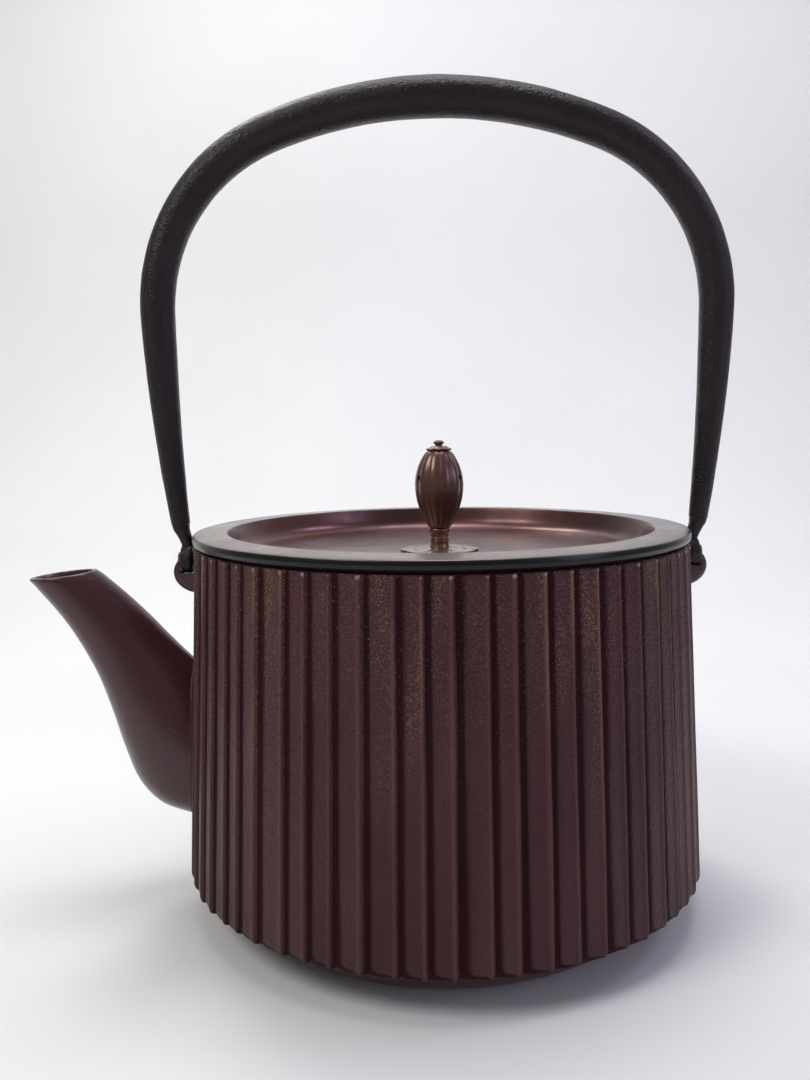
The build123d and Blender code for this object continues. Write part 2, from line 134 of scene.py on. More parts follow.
class TeapotBailSettings(PropertyGroup):
    crown_r: length("Crown radius", "Radius of the bail's top arc", 132.8)
    crown_turn: number("Crown turn", "Half the top arc's angle", math.radians(22.0),
                       subtype="ANGLE")
    shoulder_r: length("Shoulder radius", "Radius of the bail's shoulder", 55.4)
    shoulder_turn: number("Shoulder turn", "Angle of the shoulder's arc", math.radians(69.1),
                          subtype="ANGLE")
    leg_r: length("Leg radius", "Radius of the slowly curving leg", 650.0)
    crown_d: length("Crown thickness", "Thickness of the bail at its crown", 12.3)
    shoulder_d: length("Shoulder thickness", "Thickness below the shoulder", 10.6)
    toe_d: length("Toe thickness", "Thickness at the tube's lower end", 6.0)
    hammer: length("Hammer marks", "Depth of the flats left by the hammer", 0.12)


class TeapotFinishSettings(PropertyGroup):
    iron: colour("Iron", "Lacquered red-brown iron", (0.044, 0.0120, 0.0155))
    # Paler iron: the random streaks and clouds, and, brightened, the painted highlight along the
    # ridges and the painted glints on the grains near the top.
    iron_rubbed_and_lit: colour("Iron, rubbed and lit", "Paler iron in streaks and clouds, and painted highlights on ridges and grains", (0.076, 0.028, 0.031))
    gold: colour("Rubbed gold", "Golden bloom on some ridges", (0.22, 0.14, 0.062))
    # Painted highlight: this pale tone stands for the light caught by the ribs' upper ends just
    # under the lid.
    worn: colour("Rib tip highlights", "Painted highlight at the ribs' upper ends", (0.33, 0.28, 0.27))
    bail: colour("Bail iron", "Dark lacquer of the bail", (0.0095, 0.0052, 0.0068))
    bail_lit: colour("Bail iron, rubbed", "Bail where it is worn", (0.025, 0.0145, 0.017))
    bronze: colour("Lid bronze", "Red-brown patina of the dish", (0.165, 0.074, 0.070))
    bronze_rim: colour("Rim bronze", "Greyer patina of the rim", (0.27, 0.215, 0.19))
    bronze_edge: colour("Edge bronze", "Dark patina of the lid's edge", (0.012, 0.013, 0.0125))
    knob: colour("Knob bronze", "Brown patina of the bud", (0.165, 0.073, 0.054))
    copper: colour("Sleeve copper", "Warmer metal of the sleeve", (0.34, 0.185, 0.12))
    seat: colour("Pale bronze", "Pale metal of the knob's seat", (0.36, 0.27, 0.22))


class TeapotStageSettings(PropertyGroup):
    key: number("Key light", "Power of the large front light", 4.3)
    fill: number("Fill light", "Power of the side and back lights", 1.5)
    wall: number("Wall light", "Power of the light on the wall", 5.2)
    sky: number("Sky", "Strength of the room's light", 0.26)


# ---- Meshes -----------------------------------------------------------------------------------

def piece_from(name, verts, faces, material=None):
    """A mesh object from plain lists, smooth except at its sharp edges."""
    mesh = bpy.data.meshes.new(name)
    mesh.from_pydata([tuple(v) for v in verts], [], [tuple(f) for f in faces])
    mesh.validate()
    piece = bpy.data.objects.new(name, mesh)
    bpy.context.scene.collection.objects.link(piece)
    if material:
        mesh.materials.append(material)
    shade(piece)
    return piece


def shade(piece, crease=35.0):
    """Smooth, except at edges sharper than the crease angle in degrees."""
    piece.data.shade_smooth()
    piece.data.set_sharp_from_angle(angle=math.radians(crease))


def out_facing(piece):
    """Recalculates the normals so that a closed mesh faces outwards."""
    mesh = bmesh.new()
    mesh.from_mesh(piece.data)
    bmesh.ops.remove_doubles(mesh, verts=mesh.verts, dist=1e-7)
    bmesh.ops.recalc_face_normals(mesh, faces=mesh.faces)
    mesh.to_mesh(piece.data)
    mesh.free()
    return piece


def solid(name, verts, faces, material=None, crease=35.0):
    """A closed piece that faces outwards."""
    piece = out_facing(piece_from(name, verts, faces, material))
    shade(piece, crease)
    return piece


def repaint(piece, material, crease):
    """One material and even shading, once pieces were joined or cut."""
    piece.data.materials.clear()
    piece.data.materials.append(material)
    shade(piece, crease)


def turns(columns):
    """Even steps round a circle, in radians."""
    return [2 * math.pi * j / columns for j in range(columns)]


def rounded(corners, steps=5):
    """Outline through (r, z, radius) corners, each one rounded by an arc of its radius."""
    points = []
    last = len(corners) - 1
    for k, (r, z, radius) in enumerate(corners):
        here = Vector((r, z))
        if radius == 0 or k in (0, last):
            points.append((r, z))
            continue
        back = Vector(corners[k - 1][:2]) - here
        ahead = Vector(corners[k + 1][:2]) - here
        half = back.angle(ahead) / 2
        reach = min(radius / math.tan(half), 0.49 * back.length, 0.49 * ahead.length)
        radius = reach * math.tan(half)
        back.normalize()
        ahead.normalize()
        centre = here + (back + ahead).normalized() * radius / math.sin(half)
        start = here + back * reach - centre
        end = here + ahead * reach - centre
        for n in range(steps + 1):
            spoke = start.lerp(end, n / steps).normalized() * radius
            points.append(tuple(centre + spoke))
    return points


def spaced(points, longest):
    """The same outline with extra points, so that no run is longer than `longest`."""
    result = [points[0]]
    for a, b in zip(points, points[1:]):
        count = max(1, math.ceil(math.dist(a, b) / longest))
        for n in range(1, count + 1):
            result.append(tuple(p + (q - p) * n / count for p, q in zip(a, b)))
    return result


def ring_faces(rows, columns, wrap_rows=False):
    faces = []
    for i in range(rows if wrap_rows else rows - 1):
        low = i * columns
        high = (i + 1) % rows * columns
        for j in range(columns):
            k = (j + 1) % columns
            faces.append((low + j, low + k, high + k, high + j))
    return faces


def turned(name, profile, columns, material=None, crease=35.0, closed=False):
    """Turns an outline of (r, z) points about Z. A closed outline makes a ring; an open one
    starts and ends on the axis, where its rows shrink to a pole."""
    verts = [(r * math.cos(t), r * math.sin(t), z) for r, z in profile for t in turns(columns)]
    return solid(name, verts, ring_faces(len(profile), columns, closed), material, crease)


def lofted(name, rings, material=None):
    """Closed skin over a list of rings with as many points each, capped at both ends."""
    columns = len(rings[0])
    verts = [p for ring in rings for p in ring]
    faces = ring_faces(len(rings), columns)
    last = (len(rings) - 1) * columns
    faces.append(tuple(range(columns - 1, -1, -1)))
    faces.append(tuple(last + j for j in range(columns)))
    return solid(name, verts, faces, material)


def box_piece(name, low, high):
    piece = piece_from(name, [(x, y, z) for x in (low[0], high[0]) for y in (low[1], high[1])
                              for z in (low[2], high[2])],
                       [(0, 1, 3, 2), (4, 6, 7, 5), (0, 4, 5, 1), (2, 3, 7, 6), (0, 2, 6, 4),
                        (1, 5, 7, 3)])
    return out_facing(piece)


def along_x(name, radius, x_low, x_high, z, columns=48):
    """A round bar along X."""
    return lofted(name, [[(x, radius * math.cos(t), z + radius * math.sin(t))
                          for t in turns(columns)] for x in (x_low, x_high)])


def combine(piece, other, operation):
    """Joins a second closed piece to the first, or cuts it out, and removes the second."""
    step = piece.modifiers.new(operation, "BOOLEAN")
    step.operation = operation
    step.object = other
    step.solver = "MANIFOLD"
    apply_modifiers(piece)
    bpy.data.objects.remove(other)
    return piece


def apply_modifiers(piece):
    bpy.context.view_layer.update()
    graph = bpy.context.evaluated_depsgraph_get()
    mesh = bpy.data.meshes.new_from_object(piece.evaluated_get(graph))
    piece.modifiers.clear()
    if piece.type == "MESH":
        old = piece.data
        piece.data = mesh
        bpy.data.meshes.remove(old)
        return piece
    name = piece.name
    bpy.data.objects.remove(piece)
    fresh = bpy.data.objects.new(name, mesh)
    bpy.context.scene.collection.objects.link(fresh)
    return fresh


# ---- Node trees -------------------------------------------------------------------------------

class Graph:
    """Places nodes in a tree. A call fills the new node's inputs in order with values or sockets,
    and returns its output."""

    def __init__(self, tree):
        self.tree = tree

    def feed(self, socket, value):
        """Gives an input another node's socket to follow, or a value of its own."""
        if isinstance(value, bpy.types.NodeSocket):
            self.tree.links.new(value, socket)
        elif value is not None:
            socket.default_value = (*value[:3], 1.0) if socket.type == "RGBA" else value

    def node(self, kind, *values, **settings):
        node = self.tree.nodes.new(kind)
        for key, value in settings.items():
            setattr(node, key, value)
        inputs = [socket for socket in node.inputs if socket.enabled]
        for socket, value in zip(inputs, values):
            self.feed(socket, value)
        return next(socket for socket in node.outputs if socket.enabled)

    def math(self, operation, *values):
        return self.node("ShaderNodeMath", *values, operation=operation)

    def add(self, a, b):
        return self.math("ADD", a, b)

    def sub(self, a, b):
        return self.math("SUBTRACT", a, b)

    def mul(self, a, b):
        return self.math("MULTIPLY", a, b)

    def split(self, vector):
        """The vector's X, Y and Z."""
        node = self.tree.nodes.new("ShaderNodeSeparateXYZ")
        self.tree.links.new(vector, node.inputs[0])
        return list(node.outputs)

    def from_axis(self, x, y):
        """Distance from the Z axis."""
        return self.math("SQRT", self.add(self.mul(x, x), self.mul(y, y)))

    def vector(self, operation, *values):
        return self.node("ShaderNodeVectorMath", *values, operation=operation)

    def scaled(self, vector, factor):
        node = self.tree.nodes.new("ShaderNodeVectorMath")
        node.operation = "SCALE"
        self.feed(node.inputs["Vector"], vector)
        self.feed(node.inputs["Scale"], factor)
        return node.outputs["Vector"]

    def noise(self, vector, scale, detail=2.0, roughness=0.5):
        return self.node("ShaderNodeTexNoise", vector, scale, detail, roughness)

    def ramp(self, value, low, high, to_low=0.0, to_high=1.0):
        """Smooth step of a value from one range to another."""
        return self.node("ShaderNodeMapRange", value, low, high, to_low, to_high,
                         interpolation_type="SMOOTHSTEP")

    def blend(self, factor, a, b):
        """Mixes two colours."""
        node = self.tree.nodes.new("ShaderNodeMix")
        node.data_type = "RGBA"
        for name, value in (("Factor_Float", factor), ("A_Color", a), ("B_Color", b)):
            self.feed(next(s for s in node.inputs if s.identifier == name), value)
        return next(s for s in node.outputs if s.identifier == "Result_Color")

    def curve(self, value, points):
        node = self.tree.nodes.new("ShaderNodeFloatCurve")
        curve = node.mapping.curves[0]
        for n, (x, y) in enumerate(points):
            point = curve.points[n] if n < 2 and n < len(curve.points) else curve.points.new(x, y)
            point.location = (x, y)
            point.handle_type = "VECTOR"
        node.mapping.update()
        self.tree.links.new(value, node.inputs["Value"])
        return node.outputs[0]


def shape_tree(name, inputs):
    """An empty Geometry Nodes tree with a geometry input, named size inputs and one output."""
    tree = bpy.data.node_groups.new(name, "GeometryNodeTree")
    tree.interface.new_socket("Geometry", in_out="INPUT", socket_type="NodeSocketGeometry")
    for label, kind in inputs:
        tree.interface.new_socket(label, in_out="INPUT", socket_type="NodeSocket" + kind)
    tree.interface.new_socket("Geometry", in_out="OUTPUT", socket_type="NodeSocketGeometry")
    source = tree.nodes.new("NodeGroupInput")
    return Graph(tree), {socket.name: socket for socket in source.outputs}


def close_tree(graph, geometry, material):
    """Ends a tree in Realize Instances and Set Material."""
    real = graph.node("GeometryNodeRealizeInstances", geometry)
    painted = graph.node("GeometryNodeSetMaterial", real, None, material)
    output = graph.tree.nodes.new("NodeGroupOutput")
    graph.tree.links.new(painted, output.inputs[0])
    return graph.tree


def run_tree(piece, tree, values):
    """Runs a tree on a piece with the named input values, and keeps the result as a plain mesh."""
    modifier = piece.modifiers.new(tree.name, "NODES")
    modifier.node_group = tree
    for item in tree.interface.items_tree:
        if item.in_out == "INPUT" and item.name in values:
            modifier[item.identifier] = values[item.name]
    return apply_modifiers(piece)


def carved_ribs_tree():
    """Carves saw-toothed ribs in a turned body. Each point carries `around`, its share of a turn
    counted in columns, and `rib`, how far the ribs stand there."""
    graph, given = shape_tree("Carved ribs", [
        ("Ribs", "Int"), ("Relief", "Float"), ("Uneven", "Float"), ("Seed", "Int"),
        ("Start", "Float"), ("Material", "Material")])
    around = graph.node("GeometryNodeInputNamedAttribute", "around", data_type="FLOAT")
    rib = graph.node("GeometryNodeInputNamedAttribute", "rib", data_type="FLOAT")
    phase = graph.mul(around, given["Ribs"])
    index = graph.math("FLOOR", graph.add(phase, 1e-4))
    share = graph.math("MAXIMUM", graph.sub(phase, index), 0.0)
    following = graph.math("FLOORED_MODULO", graph.add(index, 1.0), given["Ribs"])

    def wander(low, high, seed):
        """A random value for each ridge, blended evenly from one ridge to the next."""
        here, there = (graph.node("FunctionNodeRandomValue", low, high, ridge, seed,
                                  data_type="FLOAT") for ridge in (index, following))
        return graph.node("ShaderNodeMix", share, here, there, data_type="FLOAT")

    least = graph.mul(given["Uneven"], -1.0)
    shift = wander(least, given["Uneven"], given["Seed"])
    depth = wander(0.75, 1.1, graph.add(given["Seed"], 7.0))

    place = graph.node("GeometryNodeInputPosition")
    long_grain = graph.vector("MULTIPLY", place, (90.0, 90.0, 16.0))
    knife = graph.noise(long_grain, 1.0)
    knife = graph.sub(knife, 0.5)
    turn = graph.add(graph.math("DIVIDE", graph.add(phase, shift), given["Ribs"]),
                     graph.mul(knife, 0.0012))
    turn = graph.add(graph.mul(turn, 2 * math.pi), given["Start"])

    height = graph.curve(share, [(0, 1), (0.03, 0.96), (0.06, 0.74), (0.10, 0.30), (0.14, 0.06),
                                 (0.19, 0.0), (0.26, 0.05), (0.34, 0.24), (0.5, 0.40),
                                 (0.7, 0.48), (0.86, 0.58), (0.92, 0.74), (0.96, 0.94), (1, 1)])
    lift = graph.mul(graph.mul(height, depth), given["Relief"])
    lift = graph.add(lift, graph.mul(knife, 0.45 * MM))
    lift = graph.mul(lift, rib)
    flat = graph.vector("MULTIPLY", place, (1.0, 1.0, 0.0))
    reach = graph.add(graph.vector("LENGTH", flat), lift)
    moved = graph.node("ShaderNodeCombineXYZ",
                       graph.mul(reach, graph.math("COSINE", turn)),
                       graph.mul(reach, graph.math("SINE", turn)), graph.split(place)[2])
    carved = graph.node("GeometryNodeSetPosition", given["Geometry"], None, moved)
    return close_tree(graph, carved, given["Material"])


def forged_bar_tree():
    """Skins a curve with a softly faceted round bar, then dimples it with hammer flats. The
    curve's own radius gives the bar's thickness."""
    graph, given = shape_tree("Forged bar", [
        ("Steps", "Int"), ("Sides", "Int"), ("Facets", "Float"), ("Hammer", "Float"),
        ("Material", "Material")])
    path = graph.node("GeometryNodeResampleCurve", given["Geometry"], None, given["Steps"])
    ring = graph.node("GeometryNodeCurvePrimitiveCircle", given["Sides"])
    spot = graph.node("GeometryNodeInputPosition")
    x, y, _ = graph.split(spot)
    eighth = graph.mul(graph.math("ARCTAN2", y, x), 8.0)
    corner = graph.mul(graph.math("COSINE", eighth), given["Facets"])
    soft = graph.scaled(spot, graph.sub(1.0, corner))
    ring = graph.node("GeometryNodeSetPosition", ring, None, soft)
    radius = graph.node("GeometryNodeInputRadius")
    bar = graph.node("GeometryNodeCurveToMesh", path, ring, radius, True)
    place = graph.node("GeometryNodeInputPosition")
    blows = graph.node("ShaderNodeTexVoronoi", place, 150.0, 0.0, 0.5, 2.0, 0.6, 1.0,
                       feature="SMOOTH_F1")
    wide = graph.noise(place, 55.0)
    dents = graph.add(graph.sub(blows, 0.45), graph.sub(wide, 0.5))
    normal = graph.node("GeometryNodeInputNormal")
    offset = graph.scaled(normal, graph.mul(dents, given["Hammer"]))
    hammered = graph.node("GeometryNodeSetPosition", bar, None, None, offset)
    return close_tree(graph, hammered, given["Material"])


def ring_of_copies_tree():
    """Repeats a small piece evenly on a circle about Z."""
    graph, given = shape_tree("Ring of copies", [
        ("Count", "Int"), ("Radius", "Float"), ("Start", "Float"), ("Material", "Material")])
    points = graph.node("GeometryNodeMeshLine", given["Count"], (0.0, 0.0, 0.0), (0.0, 0.0, 0.0))
    index = graph.node("GeometryNodeInputIndex")
    turn = graph.mul(graph.math("DIVIDE", index, given["Count"]), 2 * math.pi)
    turn = graph.add(turn, given["Start"])
    spoke = graph.node("ShaderNodeCombineXYZ", graph.math("COSINE", turn),
                       graph.math("SINE", turn))
    points = graph.node("GeometryNodeSetPosition", points, None,
                        graph.scaled(spoke, given["Radius"]))
    facing = graph.node("ShaderNodeCombineXYZ", 0.0, 0.0, turn)
    copies = graph.node("GeometryNodeInstanceOnPoints", points, None, given["Geometry"], None,
                        None, facing)
    return close_tree(graph, copies, given["Material"])


def ring_of_copies(piece, count, radius, start):
    tree = bpy.data.node_groups.get("Ring of copies") or ring_of_copies_tree()
    return run_tree(piece, tree, {"Count": count, "Radius": radius, "Start": start})


# ---- Finishes ---------------------------------------------------------------------------------

def effect_group(name, inputs, outputs):
    """A shader node group with named inputs and outputs, and its graph."""
    tree = bpy.data.node_groups.new(name, "ShaderNodeTree")
    for label, kind, default in inputs:
        socket = tree.interface.new_socket(label, in_out="INPUT", socket_type="NodeSocket" + kind)
        if default is not None:
            socket.default_value = default
    for label, kind in outputs:
        tree.interface.new_socket(label, in_out="OUTPUT", socket_type="NodeSocket" + kind)
    source = tree.nodes.new("NodeGroupInput")
    return Graph(tree), {socket.name: socket for socket in source.outputs}


def close_group(graph, values):
    output = graph.tree.nodes.new("NodeGroupOutput")
    for label, socket in values.items():
        graph.tree.links.new(socket, output.inputs[label])
    return graph.tree


def cast_grain_group():
    """Sand-cast skin: a height for the bump, grain and spark masks for the gold and the painted
    glints, and slow clouds of tone.
    """
    graph, given = effect_group(
        "Cast grain", [("Vector", "Vector", None), ("Grain", "Float", 1.0)],
        [("Height", "Float"), ("Grains", "Float"), ("Sparks", "Float"), ("Clouds", "Float")])
    spot = graph.scaled(given["Vector"], given["Grain"])
    fine = graph.noise(spot, 1300.0, 2.0, 0.6)
    coarse = graph.noise(spot, 480.0, 3.0, 0.65)
    pits = graph.node("ShaderNodeTexVoronoi", spot, 700.0)
    pits = graph.ramp(pits, 0.0, 0.35)
    height = graph.add(graph.mul(fine, 0.45), graph.mul(coarse, 0.55))
    height = graph.mul(height, graph.add(0.75, graph.mul(pits, 0.25)))
    grains = graph.ramp(graph.noise(spot, 2100.0, 2.0, 0.6), 0.50, 0.62)
    sparks = graph.ramp(graph.noise(spot, 1700.0, 1.0), 0.70, 0.76)
    clouds = graph.ramp(graph.noise(given["Vector"], 26.0, 4.0, 0.6), 0.3, 0.7)
    return close_group(graph, {"Height": height, "Grains": grains, "Sparks": sparks,
                               "Clouds": clouds})


def patina_group():
    """Hand-worn metal: a blend of two tones with drifting stains, and an uneven polish."""
    graph, given = effect_group(
        "Patina", [("Vector", "Vector", None), ("Tone", "Color", None), ("Deep", "Color", None),
                   ("Size", "Float", 1.0), ("Polish", "Float", 0.3)],
        [("Color", "Color"), ("Roughness", "Float"), ("Height", "Float")])
    spot = graph.scaled(given["Vector"], given["Size"])
    stains = graph.ramp(graph.noise(spot, 70.0, 5.0, 0.62), 0.32, 0.72)
    specks = graph.ramp(graph.noise(spot, 900.0, 3.0, 0.6), 0.55, 0.75)
    tone = graph.blend(stains, given["Deep"], given["Tone"])
    tone = graph.blend(graph.mul(specks, 0.35), tone, given["Deep"])
    rough = graph.add(given["Polish"], graph.mul(graph.sub(stains, 0.5), -0.10))
    rough = graph.add(rough, graph.mul(specks, 0.12))
    height = graph.noise(spot, 500.0, 4.0, 0.6)
    return close_group(graph, {"Color": tone, "Roughness": rough, "Height": height})


def new_finish(name):
    """A material with an empty tree, its graph, its shader and the object coordinates."""
    material = bpy.data.materials.new(name)
    material.use_nodes = True
    tree = material.node_tree
    tree.nodes.clear()
    shader = tree.nodes.new("ShaderNodeBsdfPrincipled")
    output = tree.nodes.new("ShaderNodeOutputMaterial")
    tree.links.new(shader.outputs[0], output.inputs[0])
    spot = tree.nodes.new("ShaderNodeTexCoord").outputs["Object"]
    return material, Graph(tree), shader, spot


def use_group(graph, name, maker, values):
    """Places a shared effect, made at its first use, and returns its outputs by name."""
    node = graph.tree.nodes.new("ShaderNodeGroup")
    node.node_tree = bpy.data.node_groups.get(name) or maker()
    for label, value in values.items():
        graph.feed(node.inputs[label], value)
    return {socket.name: socket for socket in node.outputs}


def wire(graph, shader, values):
    for label, value in values.items():
        graph.feed(shader.inputs[label], value)


def bumped(graph, height, distance, strength=1.0):
    bump = graph.tree.nodes.new("ShaderNodeBump")
    bump.inputs["Strength"].default_value = strength
    bump.inputs["Distance"].default_value = distance
    graph.tree.links.new(height, bump.inputs["Height"])
    return bump.outputs[0]


def times(tint, factor):
    return [min(1.0, c * factor) for c in tint]


def pot_iron_finish(colours, pot):
    """Red-brown lacquer over sand-cast iron, paler in random streaks and clouds, with a painted
    highlight along the ridges, painted shade in the grooves, painted glints near the top and at
    the ribs' upper ends, and a golden bloom on some ridges near the top."""
    material, graph, shader, spot = new_finish("Lacquered iron")
    grain = use_group(graph, "Cast grain", cast_grain_group, {"Vector": spot, "Grain": 1.0})
    x, y, z = graph.split(spot)
    reach = graph.from_axis(x, y)
    taper = (BODY_R - pot.top_r) / (POT_HIGH.z - pot.rib_foot)
    groove_r = BODY_R + taper * pot.rib_foot - pot.rib_relief
    groove = graph.sub(groove_r, graph.mul(z, taper))
    above = graph.math("DIVIDE", graph.sub(reach, groove), pot.rib_relief)
    on_wall = graph.mul(graph.ramp(above, 1.5, 1.25), graph.ramp(above, -0.9, -0.5))
    # Band along each ridge crest, which gets a painted highlight in the tone below.
    ridge = graph.mul(graph.ramp(above, 0.58, 0.85), on_wall)
    # Painted shade: the steep flank and bottom of each groove are darkened, and their gloss
    # lowered, where they would fall in shade.
    groove_shade = graph.mul(graph.ramp(above, 0.34, 0.12), on_wall)

    top = graph.mul(graph.ramp(z, POT_HIGH.z * 0.35, POT_HIGH.z), on_wall)
    streaks = graph.noise(graph.vector("MULTIPLY", spot, (1.0, 1.0, 0.12)), 95.0, 3.0)
    bloom = graph.mul(graph.ramp(streaks, 0.51, 0.64), graph.add(graph.mul(top, 0.9), 0.1))
    grains = graph.mul(grain["Grains"], graph.ramp(above, 0.1, 0.35))
    gilded = graph.math("MAXIMUM", graph.mul(ridge, 0.6), grains)
    bloom = graph.mul(graph.mul(bloom, gilded), on_wall)
    sparkle = graph.mul(grain["Sparks"], graph.mul(top, 0.8))
    # Painted glints: grains near the top are lightened, standing in for light caught by the
    # pebbled cast skin.
    painted_grain_glints = graph.mul(grain["Grains"], graph.mul(top, 0.8))
    # Painted highlight at the ribs' upper ends, where they catch the light under the lid.
    tips = graph.mul(graph.ramp(above, 0.8, 1.0),
                     graph.ramp(z, POT_HIGH.z - 2.6 * MM, POT_HIGH.z - 1.6 * MM))
    plank = graph.mul(graph.ramp(streaks, 0.35, 0.6), on_wall)

    tone = graph.blend(graph.mul(grain["Clouds"], 0.35), colours.iron, colours.iron_rubbed_and_lit)
    # Paints the tone: plank streaks, clouds and gold bloom are the iron's own colour; the ridge
    # highlight, groove shade, grain glints, gold sparkle and rib tip highlights are painted light
    # and shade.
    for mask, share, coat, factor in (
            (plank, 0.3, colours.iron_rubbed_and_lit, 1), (ridge, 0.7, colours.iron_rubbed_and_lit, 1.25),
            (painted_grain_glints, 1.0, colours.iron_rubbed_and_lit, 1.6), (groove_shade, 0.75, colours.iron, 0.3),
            (bloom, 0.8, colours.gold, 1), (sparkle, 0.6, colours.gold, 1.6),
            (tips, 0.8, colours.worn, 1)):
        tone = graph.blend(graph.mul(mask, share), tone, times(coat, factor))
    rough = graph.sub(0.44, graph.mul(grain["Clouds"], 0.06))
    off_wall = graph.sub(1.0, on_wall)
    rough = graph.sub(rough, graph.mul(off_wall, 0.15))
    gloss = graph.sub(0.22, graph.mul(groove_shade, 0.18))
    gloss = graph.add(gloss, graph.mul(off_wall, 0.22))
    coarse = graph.add(graph.mul(on_wall, 0.35), graph.mul(top, 0.5))
    height = graph.mul(grain["Height"], graph.add(coarse, 0.15))
    wire(graph, shader, {"Base Color": tone, "Roughness": rough, "Metallic": 0.0,
                         "Specular IOR Level": gloss,
                         "Normal": bumped(graph, height, 1.3 * MM)})
    return material


def bail_iron_finish(colours):
    """Thin dark lacquer over forged iron, rubbed where the hand takes it."""
    material, graph, shader, spot = new_finish("Forged iron")
    grain = use_group(graph, "Cast grain", cast_grain_group, {"Vector": spot, "Grain": 1.3})
    tone = graph.blend(graph.mul(grain["Clouds"], 0.6), colours.bail, colours.bail_lit)
    rough = graph.sub(0.33, graph.mul(grain["Clouds"], 0.06))
    wire(graph, shader, {"Base Color": tone, "Roughness": rough, "Metallic": 0.0,
                         "Specular IOR Level": 0.28,
                         "Normal": bumped(graph, grain["Height"], 0.55 * MM)})
    return material


def metal_finish(name, tone, polish, size, metallic, deep, lacquer=0.3):
    """Patinated copper alloy with drifting stains, under a thin clear lacquer."""
    material, graph, shader, spot = new_finish(name)
    skin = use_group(graph, "Patina", patina_group, {
        "Vector": spot, "Tone": tone, "Deep": times(tone, deep), "Size": size,
        "Polish": polish})
    wire(graph, shader, {"Base Color": skin["Color"], "Roughness": skin["Roughness"],
                         "Metallic": metallic, "Coat Weight": lacquer, "Coat Roughness": 0.16,
                         "Normal": bumped(graph, skin["Height"], 0.06 * MM, 0.7)})
    return material


def lid_finish(colours, lid):
    """Turned bronze: red-brown in the dish, grey-brown on the rim, nearly black at the edge."""
    material, graph, shader, spot = new_finish("Lid bronze")
    x, y, z = graph.split(spot)
    reach = graph.from_axis(x, y)
    outer = LID_HIGH.x
    rim_z = LID_HIGH.z - lid.rise
    on_rim = graph.ramp(reach, outer - lid.rim - 0.3 * MM, outer - lid.rim + 0.5 * MM)
    on_edge = graph.math("MAXIMUM", graph.ramp(reach, outer - 0.5 * MM, outer - 0.1 * MM),
                         graph.mul(on_rim, graph.ramp(z, rim_z - 0.4 * MM, rim_z - 0.9 * MM)))
    skin = use_group(graph, "Patina", patina_group, {
        "Vector": spot, "Tone": colours.bronze, "Deep": times(colours.bronze, 0.5),
        "Size": 0.6, "Polish": 0.33})
    rim = use_group(graph, "Patina", patina_group, {
        "Vector": spot, "Tone": colours.bronze_rim, "Deep": times(colours.bronze_rim, 0.62),
        "Size": 0.8, "Polish": 0.3})
    shade_out = graph.mul(graph.ramp(reach, outer - 5 * MM, outer - 0.6 * MM), 0.55)
    rim_tone = graph.blend(shade_out, rim["Color"], times(colours.bronze_rim, 0.3))
    tone = graph.blend(on_rim, skin["Color"], rim_tone)
    tone = graph.blend(on_edge, tone, colours.bronze_edge)
    rings = graph.node("ShaderNodeCombineXYZ", graph.mul(reach, 2600.0), 0.0, 0.0)
    lathe = graph.noise(rings, 1.0, 3.0)
    height = graph.add(skin["Height"], graph.mul(lathe, 0.8))
    wire(graph, shader, {"Base Color": tone, "Roughness": skin["Roughness"], "Metallic": 0.8,
                         "Coat Weight": 0.2, "Coat Roughness": 0.14,
                         "Normal": bumped(graph, height, 0.04 * MM, 0.6)})
    return material


def finish(name, maker, *args):
    """The named material, made once."""
    return bpy.data.materials.get(name) or maker(*args)


def metal(name, *look):
    return finish(name, metal_finish, name, *look)


def pale_bronze(colours):
    return metal("Pale bronze", colours.seat, 0.34, 2.0, 0.85, 0.55)


# ---- Shapes shared by the operators -----------------------------------------------------------

PIN_BORE = PIN_HIGH.y * 0.98         # holes that the pin passes through
BODY_R = POT_HIGH.y - 0.03 * MM      # ridge radius at the ribs' lower edge
RIM_Z = LID_HIGH.z - 0.45 * MM       # the lid's outer rim
PIVOT_Z = next(j["pos_m"][2] for j in frame["joints"] if j["name"] == "bail_swing")
EYE_OUT_R = PIVOT_Z - END_LOW.z
EYE_LOW_X = END_LOW.x
LEDGE_RISE = 1.3 * MM                # from the ledge's inside up to the ribs
EYE_W = 3.6 * MM
EYE_T = 2.1 * MM
BAR_R = 2.0 * MM
EYE_GAP = 0.4 * MM
EAR_POST = 2.2 * MM
EAR_T = 6.4 * MM
EAR_H = 13.2 * MM
EAR_DROP = 6.2 * MM                  # from the rim down to the ear's top
EAR_ROOT_X = 74.3 * MM               # centre of the ear's half disc
TOE_UP = 10.7 * MM

# Spout stations from inside the wall to the mouth: (reach beyond the wall, share of the rise) of
# the lower and of the upper point, then the width. Millimetres.
SPOUT_STATIONS = [
    ((-8.0, 0.02), (-18.0, 0.36), 31.0),
    ((0.5, 0.04), (-13.5, 0.46), 32.0),
    ((9.3, 0.083), (-8.8, 0.55), 32.0),
    ((15.8, 0.175), (-3.8, 0.63), 30.5),
    ((20.0, 0.31), (1.0, 0.692), 27.5),
    ((23.6, 0.46), (5.6, 0.753), 24.0),
    ((28.2, 0.62), (11.6, 0.835), 21.0),
    ((36.4, 0.805), (18.6, 0.922), 18.6),
    ((47.8, 0.986), (26.9, 1.014), 17.0),
]
SPOUT_TIP_Z = 102.5 * MM
SPOUT_WALL_R = 79.8 * MM             # the reaches count from this radius


